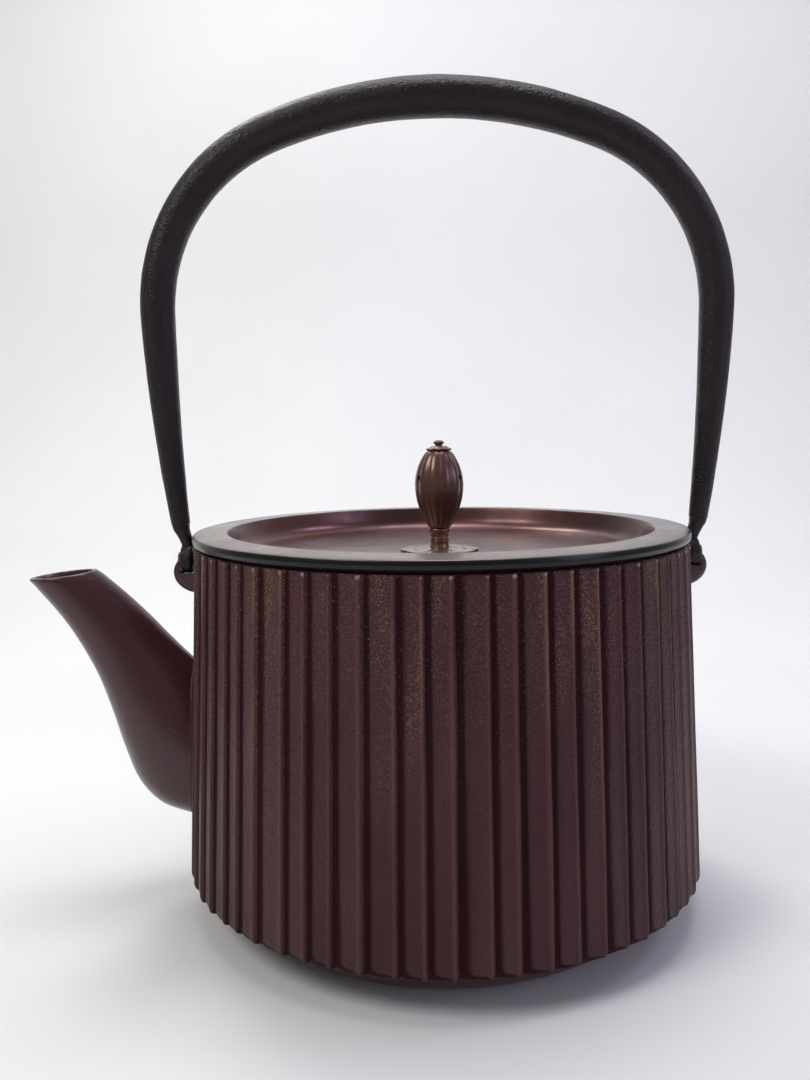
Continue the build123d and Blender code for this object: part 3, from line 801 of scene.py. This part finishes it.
def smooth_path(rows, steps):
    """Catmull-Rom curve through rows of numbers."""
    rows = np.array(rows, float)
    padded = np.vstack([2 * rows[0] - rows[1], rows, 2 * rows[-1] - rows[-2]])
    result = []
    for k in range(1, len(rows)):
        a, b, c, d = padded[k - 1:k + 3]
        for n in range(steps):
            t = n / steps
            result.append(0.5 * (2 * b + (c - a) * t + (2 * a - 5 * b + 4 * c - d) * t ** 2
                                 + (3 * b - a - 3 * c + d) * t ** 3))
    result.append(rows[-1])
    return result


def spout_rings(pot, inside, columns=64, steps=6):
    """Rings of the spout's outside, or of its passage, which overruns both ends."""
    rise = SPOUT_TIP_Z - pot.spout_root
    rows = [(*low, *high, width) for low, high, width in SPOUT_STATIONS]
    path = smooth_path(rows, steps)
    rings = []
    for k, (low_out, low_up, high_out, high_up, width) in enumerate(path):
        low = Vector((-(SPOUT_WALL_R + low_out * MM), 0, pot.spout_root + rise * low_up))
        high = Vector((-(SPOUT_WALL_R + high_out * MM), 0, pot.spout_root + rise * high_up))
        share = k / (len(path) - 1)
        wall = pot.root_wall + (pot.mouth_wall - pot.root_wall) * share if inside else 0.0
        middle = (low + high) / 2
        along = (high - low).normalized()
        half = (high - low).length / 2 - wall
        side = width * MM / 2 - wall
        rings.append(oval_ring(middle, along, half, side, columns))
    return rings


def oval_ring(middle, along, half, side, columns):
    ring = []
    for turn in turns(columns):
        point = middle + along * half * math.cos(turn)
        ring.append((point.x, side * math.sin(turn), point.z))
    return ring


def grown(ring, amount):
    """The same ring, moved out from its middle."""
    middle = Vector(np.mean(ring, axis=0))
    return [tuple(middle + (Vector(p) - middle) * (1 + amount / (Vector(p) - middle).length))
            for p in ring]


def shifted(ring, step):
    return [tuple(Vector(p) + step) for p in ring]


def spout_outside(pot):
    rings = spout_rings(pot, inside=False)
    lip = 0.45 * MM
    up = Vector((-0.35, 0, 1)).normalized()
    last = shifted(rings[-1], -up * lip)
    bevel = shifted(grown(rings[-1], -0.15 * MM), -up * 0.15 * MM)
    return lofted("spout", rings[:-1] + [last, bevel, grown(rings[-1], -lip)])


def spout_passage(pot):
    rings = spout_rings(pot, inside=True)
    lip = 0.5 * MM
    up = Vector((-0.75, 0, 1)).normalized()
    last = rings[-1]
    rings = rings[:-1] + [shifted(last, -up * 2 * lip), grown(last, lip),
                          shifted(grown(last, 3 * lip), up * 3 * MM)]
    return lofted("passage", rings)


def bail_path(bail, inset):
    """Right half of the bail's centre line from the crown down: (x, z, thickness)."""
    rows = []
    x = 0.0
    z = BAIL_HIGH.z - bail.crown_d / 2
    heading = 0.0
    run = 0.0
    for radius, turn, count in ((bail.crown_r, bail.crown_turn, 12),
                                (bail.shoulder_r, bail.shoulder_turn, 24)):
        for _ in range(count):
            rows.append([x, z, run, heading])
            step = turn / count
            chord = 2 * radius * math.sin(step / 2)
            x += chord * math.cos(heading + step / 2)
            z -= chord * math.sin(heading + step / 2)
            heading += step
            run += radius * step
    shoulder_run = run
    toe_z = PIVOT_Z + TOE_UP
    legs = 24
    for k in range(legs + 1):
        rows.append([x, z, run, heading])
        chord = (z - toe_z) / max(1, legs - k) / math.sin(heading)
        step = chord / bail.leg_r
        x += chord * math.cos(heading + step / 2)
        z -= chord * math.sin(heading + step / 2)
        heading += step
        run += chord
    end_run = rows[-1][2]
    path = []
    for x, z, run, heading in rows:
        if run <= shoulder_run:
            size = bail.crown_d + (bail.shoulder_d - bail.crown_d) * run / shoulder_run
        else:
            share = (run - shoulder_run) / (end_run - shoulder_run)
            size = bail.shoulder_d + (bail.toe_d - bail.shoulder_d) * share ** 1.25
        path.append((x, z, size - inset, heading))
    return path


def carved_body(pot, material):
    """The ribbed body as one solid, without its inside: turned rows, then ribs carved in them."""
    per_rib = [0.0, 0.03, 0.06, 0.10, 0.14, 0.19, 0.26, 0.34, 0.50, 0.70, 0.86, 0.92, 0.96]
    around = [(k + share) / pot.rib_count for k in range(pot.rib_count) for share in per_rib]
    seat = POT_HIGH.z
    taper = (BODY_R - pot.top_r) / (seat - pot.rib_foot)
    edge_r = BODY_R - pot.rib_relief - pot.end_round - 0.3 * MM
    ledge_r = edge_r - pot.ledge
    ledge_z = pot.rib_foot - LEDGE_RISE

    def groove_r(z):
        return BODY_R - taper * (z - pot.rib_foot) - pot.rib_relief

    rows = [(0.0, 0.0, 0.0), (pot.foot_r * 0.5, 0.0, 0.0), (pot.foot_r - 1.5 * MM, 0.0, 0.0)]
    cup = [(pot.foot_r, 0.05 * MM), (pot.foot_r + 0.35 * (ledge_r - pot.foot_r), 0.22 * ledge_z),
           (pot.foot_r + 0.66 * (ledge_r - pot.foot_r), 0.50 * ledge_z), (ledge_r, ledge_z)]
    rows += [(r, z, 0.0) for r, z in smooth_path(cup, 4)]
    rows += [(ledge_r + 0.6 * MM, ledge_z + 0.35 * MM, 0.0),
             (edge_r - 0.8 * MM, pot.rib_foot, 0.0)]
    for up, lean, stand in ((0.0, 1.0, 0.75), (0.15, 0.82, 0.95), (0.45, 0.60, 1.0),
                            (0.9, 0.38, 1.0), (1.5, 0.15, 1.0), (2.2, 0.02, 1.0)):
        z = pot.rib_foot + up * MM
        rows.append((groove_r(z) - lean * pot.end_round, z, stand))
    low = pot.rib_foot + 4 * MM
    high = seat - 2.6 * MM
    for k in range(37):
        z = low + (high - low) * k / 36
        rows.append((groove_r(z), z, 1.0))
    for drop, stand in ((1.9, 1.05), (1.55, 1.12), (1.25, 0.85), (1.05, 0.35), (0.95, 0.0)):
        rows.append((groove_r(high), seat - drop * MM, stand))
    neck_r = groove_r(seat) - 0.7 * MM
    rows += [(neck_r, seat - 0.8 * MM, 0.0), (neck_r, seat - 0.25 * MM, 0.0),
             (neck_r - 0.25 * MM, seat, 0.0), (neck_r * 0.5, seat, 0.0), (0.0, seat, 0.0)]

    verts = []
    for r, z, _ in rows:
        for share in around:
            turn = 2 * math.pi * share
            verts.append((r * math.cos(turn), r * math.sin(turn), z))
    body = piece_from("pot_body", verts, ring_faces(len(rows), len(around)), material)
    mesh = body.data
    for name, values in (("around", around * len(rows)),
                         ("rib", [row[2] for row in rows for _ in around])):
        mesh.attributes.new(name, "FLOAT", "POINT").data.foreach_set("value", values)
    run_tree(body, carved_ribs_tree(), {
        "Ribs": pot.rib_count, "Relief": pot.rib_relief, "Uneven": pot.rib_uneven,
        "Seed": pot.rib_seed, "Start": FRONT, "Material": material})
    for name in ("around", "rib"):
        left = body.data.attributes.get(name)
        if left:
            body.data.attributes.remove(left)
    return out_facing(body)


def pot_hollow(pot):
    """The space inside the body, as a solid to cut away."""
    seat = POT_HIGH.z
    mouth_r = pot.top_r - pot.rib_relief - pot.wall
    belly_r = BODY_R - pot.rib_relief - pot.wall
    corners = [(0, pot.floor, 0), (pot.foot_r - 2 * MM, pot.floor, 30 * MM),
               (belly_r, pot.rib_foot + 8 * MM, 30 * MM), (mouth_r, seat - 4 * MM, 10 * MM),
               (mouth_r, seat - 0.5 * MM, 0), (mouth_r + 0.5 * MM, seat, 0),
               (mouth_r + 1.5 * MM, seat + 1 * MM, 0), (0, seat + 1 * MM, 0)]
    return turned("hollow", rounded(corners, 8), 192)


def ear_lug(side):
    """Half-disc lug below the rim, with the slot and the bar that carry the bail's eye."""
    end_x = EYE_LOW_X + EYE_W + EYE_GAP + EAR_POST
    middle_z = RIM_Z - EAR_DROP - EAR_H / 2
    round_off = 2.0 * MM
    rings = []
    for k in range(-8, 9):
        bend = math.pi / 2 * abs(k) / 8
        inset = round_off * (1 - math.cos(bend))
        y = math.copysign(EAR_T / 2 - round_off + round_off * math.sin(bend), k) if k else 0.0
        ring = []
        for turn in turns(56):
            x = EAR_ROOT_X + (end_x - EAR_ROOT_X - inset) * math.cos(turn)
            ring.append((side * x, y, middle_z + (EAR_H / 2 - inset) * math.sin(turn)))
        rings.append(ring)
    lug = lofted("ear", rings)
    ends = sorted((side * (EAR_ROOT_X - 20 * MM), side * (EAR_ROOT_X - 1.5 * MM)))
    behind = box_piece("behind", (ends[0], -EAR_T, middle_z - EAR_H),
                       (ends[1], EAR_T, middle_z + EAR_H))
    combine(lug, behind, "DIFFERENCE")
    slot_low = side * (EYE_LOW_X - EYE_GAP)
    slot_high = side * (EYE_LOW_X + EYE_W + EYE_GAP)
    slot = along_x("slot", EYE_OUT_R + 2 * EYE_GAP, slot_low, slot_high, PIVOT_Z)
    combine(lug, slot, "DIFFERENCE")
    bar = along_x("bar", BAR_R, slot_low - side * 0.6 * MM, slot_high + side * 0.6 * MM, PIVOT_Z)
    return combine(lug, bar, "UNION")


def bail_end_shape(side, bail, material):
    """Forged end of the bail: a tapered neck and an eye bent round the ear's bar."""
    x, z, size, _ = bail_path(bail, 0.0)[-1]
    eye_x = EYE_LOW_X + EYE_W / 2
    neck_z = PIVOT_Z + EYE_OUT_R - 0.5 * MM
    toe = size / 2
    stations = [(x - 0.3 * MM, z + 3 * MM, toe - 1.0 * MM, toe - 1.0 * MM),
                (x, z + 0.4 * MM, toe - 0.45 * MM, toe - 0.45 * MM),
                (x, z - 0.2 * MM, toe - 0.28 * MM, toe - 0.28 * MM),
                (x - 0.2 * MM, z - 1.8 * MM, toe - 0.45 * MM, toe - 0.5 * MM),
                ((x + eye_x) / 2, (z + neck_z) / 2, 2.25 * MM, 2.2 * MM),
                (eye_x + 0.1 * MM, neck_z + 0.8 * MM, 1.85 * MM, 1.85 * MM),
                (eye_x, neck_z, 1.8 * MM, 1.8 * MM),
                (eye_x, neck_z - 0.8 * MM, 1.75 * MM, 1.75 * MM)]
    rings = []
    for cx, cz, half_x, half_y in smooth_path(stations, 3):
        ring = []
        for turn in turns(40):
            soft = 1 - 0.035 * math.cos(4 * turn)
            ring.append((side * (cx + half_x * soft * math.cos(turn)),
                         half_y * soft * math.sin(turn), cz))
        rings.append(ring)
    end = lofted("bail_end", rings, material)
    inner = EYE_OUT_R - EYE_T
    outline = rounded([(inner, -EYE_W / 2, 0), (EYE_OUT_R, -EYE_W / 2, 0.8 * MM),
                       (EYE_OUT_R, EYE_W / 2, 0.8 * MM), (inner, EYE_W / 2, 0)], 5)
    eye = turned("eye", outline, 96, material, closed=True)
    eye.data.transform(Matrix.Translation((side * eye_x, 0, PIVOT_Z))
                       @ Matrix.Rotation(math.pi / 2, 4, "Y"))
    seam = box_piece("seam", (-EYE_W, -0.6 * MM, 0.5 * inner), (EYE_W, 0.6 * MM, 2 * EYE_OUT_R))
    seam.data.transform(Matrix.Translation((side * eye_x, 0, PIVOT_Z))
                        @ Matrix.Rotation(math.radians(-50), 4, "X"))
    combine(eye, seam, "DIFFERENCE")
    combine(end, eye, "UNION")
    repaint(end, material, 40)
    return end


def settle(piece, name, body, slot, *nodes):
    """Names a finished piece, hangs it on the body that it rides on, and hides the parts that it
    stands for. The finish that it is given is not used.
    """
    piece.name = name
    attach(piece, body)
    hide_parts(*nodes)
    return piece


# ---- Operators --------------------------------------------------------------------------------

class TEAPOT_OT_pot(Operator):
    """Makes the ribbed body with its spout and ears, as one casting"""
    bl_idname = "teapot.pot"
    bl_label = "Make Pot"

    def execute(self, context):
        pot = context.scene.teapot_pot
        iron = finish("Lacquered iron", pot_iron_finish, context.scene.teapot_finish, pot)
        body = carved_body(pot, iron)
        combine(body, spout_outside(pot), "UNION")
        for side in (1, -1):
            combine(body, ear_lug(side), "UNION")
        combine(body, pot_hollow(pot), "DIFFERENCE")
        combine(body, spout_passage(pot), "DIFFERENCE")
        repaint(body, iron, 38)
        settle(body, "pot_body", "pot", "pot_iron", "pot_casting", "pot_spout")
        return {"FINISHED"}


class TEAPOT_OT_lid(Operator):
    """Makes the dished lid, the ring under it and the plain washer behind the pin"""
    bl_idname = "teapot.lid"
    bl_label = "Make Lid"

    def execute(self, context):
        lid = context.scene.teapot_lid
        bronze = finish("Lid bronze", lid_finish, context.scene.teapot_finish, lid)
        outer = LID_HIGH.x
        top = LID_HIGH.z
        rim_z = top - lid.rise
        floor_z = rim_z - lid.depth
        under_z = floor_z - lid.sheet
        seat_z = rim_z - lid.edge
        dish_r = outer - lid.rim
        corners = [(PIN_BORE, floor_z, 0.1 * MM), (dish_r - 2.2 * MM, floor_z, 7 * MM),
                   (dish_r, top, 0.35 * MM), (outer - 0.25 * MM, rim_z, 0.5 * MM),
                   (outer, seat_z + 1.2 * MM, 0.8 * MM), (outer - 0.3 * MM, seat_z, 0.5 * MM),
                   (dish_r + 2.1 * MM, seat_z, 1.5 * MM), (dish_r - 0.3 * MM, under_z, 8 * MM),
                   (PIN_BORE, under_z, 0)]
        outline = spaced(rounded(corners, 7), 3.5 * MM)
        plate = turned("lid_plate_bronze", outline, 256, bronze, 50, closed=True)
        for vert in plate.data.vertices:
            turn = math.atan2(vert.co.y, vert.co.x)
            reach = math.hypot(vert.co.x, vert.co.y) / outer
            wave = 0.5 * math.sin(3 * turn + 0.7) + 0.35 * math.sin(5 * turn) - 0.85
            vert.co.z += 0.05 * MM * wave * reach ** 2
        settle(plate, "lid_plate_bronze", "lid", "lid_bronze", "lid_plate")

        ring_out = COLLAR_HIGH.x
        ring_in = ring_out - 1.8 * MM
        corners = [(ring_in, COLLAR_HIGH.z, 0), (ring_in, COLLAR_LOW.z, 0.5 * MM),
                   (ring_out, COLLAR_LOW.z, 0.7 * MM), (ring_out, COLLAR_HIGH.z, 0)]
        ring = turned("collar", spaced(rounded(corners, 4), 3 * MM), 192, bronze, closed=True)
        settle(ring, "lid_collar", "lid", "lid_bronze", "lid_collar_ring")

        pale = pale_bronze(context.scene.teapot_finish)
        corners = [(PIN_BORE, BACKING_LOW.z, 0.1 * MM), (BACKING_HIGH.x, BACKING_LOW.z, 0.25 * MM),
                   (BACKING_HIGH.x, BACKING_HIGH.z, 0.2 * MM), (PIN_BORE, BACKING_HIGH.z, 0)]
        washer = turned("backing", rounded(corners, 4), 64, pale, closed=True)
        settle(washer, "backing_washer_bronze", "lid", "seat_bronze", "backing_washer")
        return {"FINISHED"}


class TEAPOT_OT_seat(Operator):
    """Makes the flower-shaped seat under the knob"""
    bl_idname = "teapot.seat"
    bl_label = "Make Flower Seat"

    def execute(self, context):
        lid = context.scene.teapot_lid
        pale = pale_bronze(context.scene.teapot_finish)
        petals = lid.petals
        outer = SEAT_HIGH.x
        low = SEAT_LOW.z
        thick = SEAT_HIGH.z - SEAT_LOW.z
        columns = petals * 24
        shares = [(0.0, 0.0), (0.0, 0.97)] + [(k / 14, 1.0) for k in range(15)]
        shares += [(1.0, 0.6), (1.0, 0.0)]
        verts = []
        for share, level in shares:
            for turn in turns(columns):
                petal = abs(math.cos(petals * turn / 2))
                edge = outer * (1 - 0.10 * (1 - petal) ** 1.6)
                r = PIN_BORE + (edge - PIN_BORE) * share
                dome = 0.58 + 0.42 * (1 - share ** 3)
                crease = 0.13 * (1 - petal) ** 6 * min(1.0, share * 2.2)
                ring = 0.10 * math.exp(-((share - 0.36) / 0.035) ** 2)
                z = low + thick * level * (dome - crease - ring)
                verts.append((r * math.cos(turn), r * math.sin(turn), z))
        seat = out_facing(piece_from("seat", verts, ring_faces(len(shares), columns, True), pale))
        pin = turned("piercing", [(0, low - MM), (0.62 * MM, low - MM), (0.62 * MM, low + 3 * MM),
                                  (0, low + 3 * MM)], 16)
        pins = ring_of_copies(pin, petals, outer * 0.66, FRONT + math.pi / petals)
        combine(seat, pins, "DIFFERENCE")
        shade(seat, 40)
        settle(seat, "flower_washer_bronze", "lid", "seat_bronze", "flower_washer")
        return {"FINISHED"}


class TEAPOT_OT_knob(Operator):
    """Makes the bud with its cap and sleeve, and the pin through them"""
    bl_idname = "teapot.knob"
    bl_label = "Make Knob"

    def execute(self, context):
        knob = context.scene.teapot_knob
        colours = context.scene.teapot_finish
        bronze = metal("Knob bronze", colours.knob, 0.32, 2.2, 0.5, 0.5, 0.5)
        copper = metal("Sleeve copper", colours.copper, 0.33, 2.5, 0.85, 0.5)
        settle(self.bud(knob, bronze), "bud", "knob", "knob_bronze", "knob_bud")
        settle(self.cap(knob, bronze), "bud_cap", "knob", "knob_bronze", "knob_calyx")
        settle(self.sleeve(copper), "sleeve", "knob", "stem_copper", "knob_stem")
        settle(self.pin(bronze), "pin", "knob", "knob_bronze", "knob_pin")
        return {"FINISHED"}

    def bud(self, knob, material):
        low = BUD_LOW.z
        high = BUD_HIGH.z
        wide = BUD_HIGH.x / 0.975
        neck_low = STEM_HIGH.x - 0.35 * MM
        neck_high = CALYX_HIGH.x - 0.5 * MM
        columns = knob.lobes * 14
        rows = 44

        def radius(share):
            neck = neck_low + (neck_high - neck_low) * share
            bulge = math.sin(math.pi * share ** 1.12) ** 0.72 if 0 < share < 1 else 0.0
            return neck + (wide - (neck_low + neck_high) / 2) * bulge

        def ring(share, inset, flute):
            points = []
            fade = math.sin(math.pi * min(max(share, 0.03), 0.97)) ** 0.45
            for turn in turns(columns):
                crest = abs(math.sin(knob.lobes * (turn - FRONT) / 2))
                groove = flute * fade * (1 - crest ** 0.9)
                r = max(PIN_BORE, radius(share) - inset - groove)
                points.append((r * math.cos(turn), r * math.sin(turn),
                               low + (high - low) * share))
            return points

        rings = [ring(k / rows, 0.0, knob.flute) for k in range(rows + 1)]
        inner = [ring(0.94 - 0.88 * k / 16, 1.9 * MM, 0.0) for k in range(17)]
        bore = [(PIN_BORE * math.cos(t), PIN_BORE * math.sin(t)) for t in turns(columns)]
        rings += [[(x, y, z) for x, y in bore] for z in (high, inner[0][0][2])]
        rings += inner
        rings += [[(x, y, z) for x, y in bore] for z in (inner[-1][0][2], low)]
        verts = [p for r in rings for p in r]
        bud = out_facing(piece_from("bud", verts, ring_faces(len(rings), columns, True), material))
        drill = turned("drill", [(0, 0), (knob.hole, 0), (knob.hole, 4 * MM), (0, 4 * MM)], 20)
        hole_z = low + 0.66 * (high - low)
        drill.data.transform(Matrix.Translation((0, 0, hole_z))
                             @ Matrix.Rotation(math.pi / 2, 4, "Y"))
        drills = ring_of_copies(drill, 3, wide - 2.6 * MM, -FRONT)
        combine(bud, drills, "DIFFERENCE")
        shade(bud, 50)
        return bud

    def cap(self, knob, material):
        low = CALYX_LOW.z
        high = CALYX_HIGH.z
        outer = CALYX_HIGH.x
        columns = knob.scallops * 12
        rows = [(0.0, 0.0), (0.55, 0.0), (0.93, 0.16), (1.0, 0.34), (0.97, 0.5), (0.85, 0.56),
                (0.66, 0.64), (0.45, 0.86), (0.3, 1.0), (0.0, 1.0)]
        verts = []
        for share, level in rows:
            for turn in turns(columns):
                tip = abs(math.cos(knob.scallops * turn / 2)) ** 0.7
                edge = outer * (0.80 + 0.20 * tip)
                r = PIN_BORE + (edge - PIN_BORE) * share
                droop = 0.12 * share ** 4 * tip
                z = low + (high - low) * max(0.0, level - droop * (0 if level < 0.1 else 1))
                verts.append((r * math.cos(turn), r * math.sin(turn), z))
        return solid("cap", verts, ring_faces(len(rows), columns, True), material, 60)

    def sleeve(self, material):
        low = STEM_LOW.z
        high = STEM_HIGH.z
        outer = STEM_HIGH.x
        neck = outer - 0.65 * MM
        bead = outer - 0.42 * MM
        corners = [(PIN_BORE, low, 0), (outer - 0.35 * MM, low, 0.1 * MM),
                   (outer - 0.5 * MM, low + 0.5 * MM, 0.3 * MM), (neck, low + 1.2 * MM, 0.4 * MM),
                   (neck, low + 1.7 * MM, 0.1 * MM), (bead, low + 1.8 * MM, 0.15 * MM),
                   (bead, low + 2.3 * MM, 0.15 * MM), (neck, low + 2.45 * MM, 0.08 * MM),
                   (bead, low + 2.6 * MM, 0.15 * MM), (bead, low + 3.1 * MM, 0.15 * MM),
                   (neck, low + 3.2 * MM, 0.1 * MM), (neck, high - 1.5 * MM, 0.3 * MM),
                   (outer, high - 1.1 * MM, 0.35 * MM), (outer, high - 0.1 * MM, 0.35 * MM),
                   (outer - 0.4 * MM, high, 0.1 * MM), (PIN_BORE, high, 0)]
        return turned("sleeve", rounded(corners, 4), 72, material, 60, closed=True)

    def pin(self, material):
        top = PIN_HIGH.z
        head_z = CALYX_HIGH.z
        radius = PIN_HIGH.y * 0.92
        head = 1.63 * MM
        low = PIN_LOW.z
        corners = [(0, low, 0), (radius, low, 0.2 * MM), (radius, head_z, 0),
                   (head - 0.45 * MM, head_z + 0.05 * MM, 0),
                   (head - 0.5 * MM, head_z + 0.5 * MM, 0.25 * MM),
                   (head, head_z + 0.85 * MM, 0.15 * MM), (head, top - 0.45 * MM, 0.3 * MM),
                   (head * 0.55, top - 0.08 * MM, 0.3 * MM), (0, top, 0)]
        pin = turned("pin", rounded(corners, 4), 40, material, 60)
        leg_t = 1.2 * MM
        reach = PIN_HIGH.x
        half = radius * 0.85
        rings = []
        for k in range(-10, 11):
            x = reach * k / 10
            narrow = 1 - 0.35 * (abs(k) / 10) ** 4
            rings.append([(x, half * narrow * math.cos(t),
                           low + leg_t / 2 + leg_t / 2 * math.sin(t)) for t in turns(16)])
        combine(pin, lofted("legs", rings), "UNION")
        repaint(pin, material, 45)
        return pin


class TEAPOT_OT_bail(Operator):
    """Makes the forged bail and its two ends with their eyes"""
    bl_idname = "teapot.bail"
    bl_label = "Make Bail"

    def execute(self, context):
        bail = context.scene.teapot_bail
        iron = finish("Forged iron", bail_iron_finish, context.scene.teapot_finish)
        half = bail_path(bail, 0.30 * MM)
        points = [(-x, z, size) for x, z, size, _ in half[:0:-1]]
        points += [(x, z, size) for x, z, size, _ in half]
        curve = bpy.data.curves.new("bail", "CURVE")
        curve.dimensions = "3D"
        line = curve.splines.new("POLY")
        line.points.add(len(points) - 1)
        for spot, (x, z, size) in zip(line.points, points):
            spot.co = (x, 0.0, z, 1.0)
            spot.radius = size / 2
        path = bpy.data.objects.new("bail_arch", curve)
        context.scene.collection.objects.link(path)
        arch = run_tree(path, forged_bar_tree(), {
            "Steps": 420, "Sides": 64, "Facets": 0.006, "Hammer": bail.hammer, "Material": iron})
        shade(arch, 50)
        settle(arch, "bail_arch", "bail", "bail_iron", "bail_tube")
        for side, node in ((1, "bail_end_right"), (-1, "bail_end_left")):
            end = bail_end_shape(side, bail, iron)
            settle(end, node + "_iron", "bail", "bail_iron", node)
        return {"FINISHED"}


# The camera that shows the pot from the front: beside and before the axis, above the lid's rim.
CAMERA_X, CAMERA_Y, CAMERA_UP = -0.01076, -0.3082, 0.0323
CAMERA_TILT = math.radians(6.70)
CAMERA_ROLL = math.radians(-0.84)
CAMERA_LENS = 33.33                  # millimetres, on a film 36 mm wide


class TEAPOT_OT_stage(Operator):
    """Sets out a pale floor and wall, soft studio light and the camera"""
    bl_idname = "teapot.stage"
    bl_label = "Set Stage"

    def execute(self, context):
        stage = context.scene.teapot_stage
        self.backdrop()
        middle = (0, 0, 0.1)
        violet = (0.66, 0.62, 1.0)
        self.light("key", (-0.62, -0.45, 0.85), 0.45, stage.key, (1.0, 0.985, 0.96), middle)
        self.light("overhead", (0.05, 0.15, 1.05), 0.4, 0.5 * stage.key, (1, 1, 1), middle)
        self.light("side", (0.85, -0.5, 0.45), 0.5, stage.fill, violet, middle)
        self.light("high_side", (0.72, 0.1, 0.82), 0.3, 0.9 * stage.fill, violet, (-0.1, 0, 0.1))
        self.light("back", (-0.3, 0.5, 0.85), 0.25, 1.2 * stage.fill, (1, 1, 1), (0, 0, 0.22))
        self.light("wall", (0.0, 0.1, 1.5), 0.9, stage.wall, (1, 1, 1), (0, 0.75, 0.35))
        world = bpy.data.worlds.new("Room")
        world.use_nodes = True
        sky = world.node_tree.nodes["Background"]
        sky.inputs["Color"].default_value = (0.95, 0.96, 1.0, 1.0)
        sky.inputs["Strength"].default_value = stage.sky
        context.scene.world = world
        context.scene.view_settings.view_transform = "Standard"
        self.camera(context)
        return {"FINISHED"}

    def backdrop(self):
        """Floor and wall in one sheet, joined by a wide cove."""
        depth = 0.75
        cove = 0.35
        outline = [(-1.6, 0.0), (depth - cove, 0.0)]
        outline += [(depth - cove + cove * math.sin(a), cove - cove * math.cos(a))
                    for a in (math.radians(9 * k) for k in range(1, 11))]
        outline.append((depth, 2.2))
        verts = [(x, y, z) for x in (-2.2, 2.2) for y, z in outline]
        count = len(outline)
        faces = [(k, k + count, k + count + 1, k + 1) for k in range(count - 1)]
        paper, graph, shader, spot = new_finish("Pale paper")
        mottle = graph.ramp(graph.noise(spot, 6.0, 3.0), 0.2, 0.8)
        tone = graph.blend(mottle, (0.80, 0.80, 0.79), (0.84, 0.84, 0.83))
        wire(graph, shader, {"Base Color": tone, "Roughness": 0.85})
        sheet = piece_from("studio_sheet", verts, faces, paper)

    def light(self, name, place, size, power, tint, target):
        lamp = bpy.data.lights.new(name, "AREA")
        lamp.shape = "DISK"
        lamp.size = size
        lamp.energy = power
        lamp.color = tint
        stand = bpy.data.objects.new(name, lamp)
        stand.location = place
        aim = Vector(target) - Vector(place)
        stand.rotation_euler = aim.to_track_quat("-Z", "Y").to_euler()
        bpy.context.scene.collection.objects.link(stand)

    def camera(self, context):
        lens = bpy.data.cameras.new("camera")
        lens.sensor_fit = "AUTO"
        lens.sensor_width = 36.0
        lens.lens = CAMERA_LENS
        lens.clip_start = 0.01
        eye = bpy.data.objects.new("camera", lens)
        tilt, roll = CAMERA_TILT, CAMERA_ROLL
        right = Vector((1, 0, 0))
        ahead = Vector((0, math.cos(tilt), -math.sin(tilt)))
        up = right.cross(ahead)
        side = right * math.cos(roll) + up * math.sin(roll)
        top = up * math.cos(roll) - right * math.sin(roll)
        turn = Matrix((side, top, -ahead)).transposed().to_4x4()
        place = (CAMERA_X, CAMERA_Y, RIM_Z + CAMERA_UP)
        eye.matrix_world = Matrix.Translation(place) @ turn
        context.scene.collection.objects.link(eye)
        context.scene.camera = eye


class TEAPOT_PT_panel(Panel):
    bl_label = "Iron Teapot"
    bl_idname = "TEAPOT_PT_panel"
    bl_space_type = "VIEW_3D"
    bl_region_type = "UI"
    bl_category = "Teapot"

    def draw(self, context):
        for operator in OPERATORS:
            self.layout.operator(operator.bl_idname)
        for name in SETTINGS:
            group = getattr(context.scene, name)
            box = self.layout.box()
            box.label(text=name.replace("_", " ").title())
            for key in group.__annotations__:
                box.prop(group, key)


OPERATORS = (TEAPOT_OT_pot, TEAPOT_OT_lid, TEAPOT_OT_seat, TEAPOT_OT_knob, TEAPOT_OT_bail,
             TEAPOT_OT_stage)
SETTINGS = {
    "teapot_pot": TeapotPotSettings,
    "teapot_lid": TeapotLidSettings,
    "teapot_knob": TeapotKnobSettings,
    "teapot_bail": TeapotBailSettings,
    "teapot_finish": TeapotFinishSettings,
    "teapot_stage": TeapotStageSettings,
}


def register():
    for name, group in SETTINGS.items():
        bpy.utils.register_class(group)
        setattr(bpy.types.Scene, name, PointerProperty(type=group))
    for operator in (*OPERATORS, TEAPOT_PT_panel):
        bpy.utils.register_class(operator)


def unregister():
    for operator in (TEAPOT_PT_panel, *reversed(OPERATORS)):
        bpy.utils.unregister_class(operator)
    for name, group in reversed(SETTINGS.items()):
        delattr(bpy.types.Scene, name)
        bpy.utils.unregister_class(group)


def main():
    register()
    bpy.ops.teapot.pot()
    bpy.ops.teapot.lid()
    bpy.ops.teapot.seat()
    bpy.ops.teapot.knob()
    bpy.ops.teapot.bail()
    bpy.ops.teapot.stage()


if __name__ == "__main__":
    main()
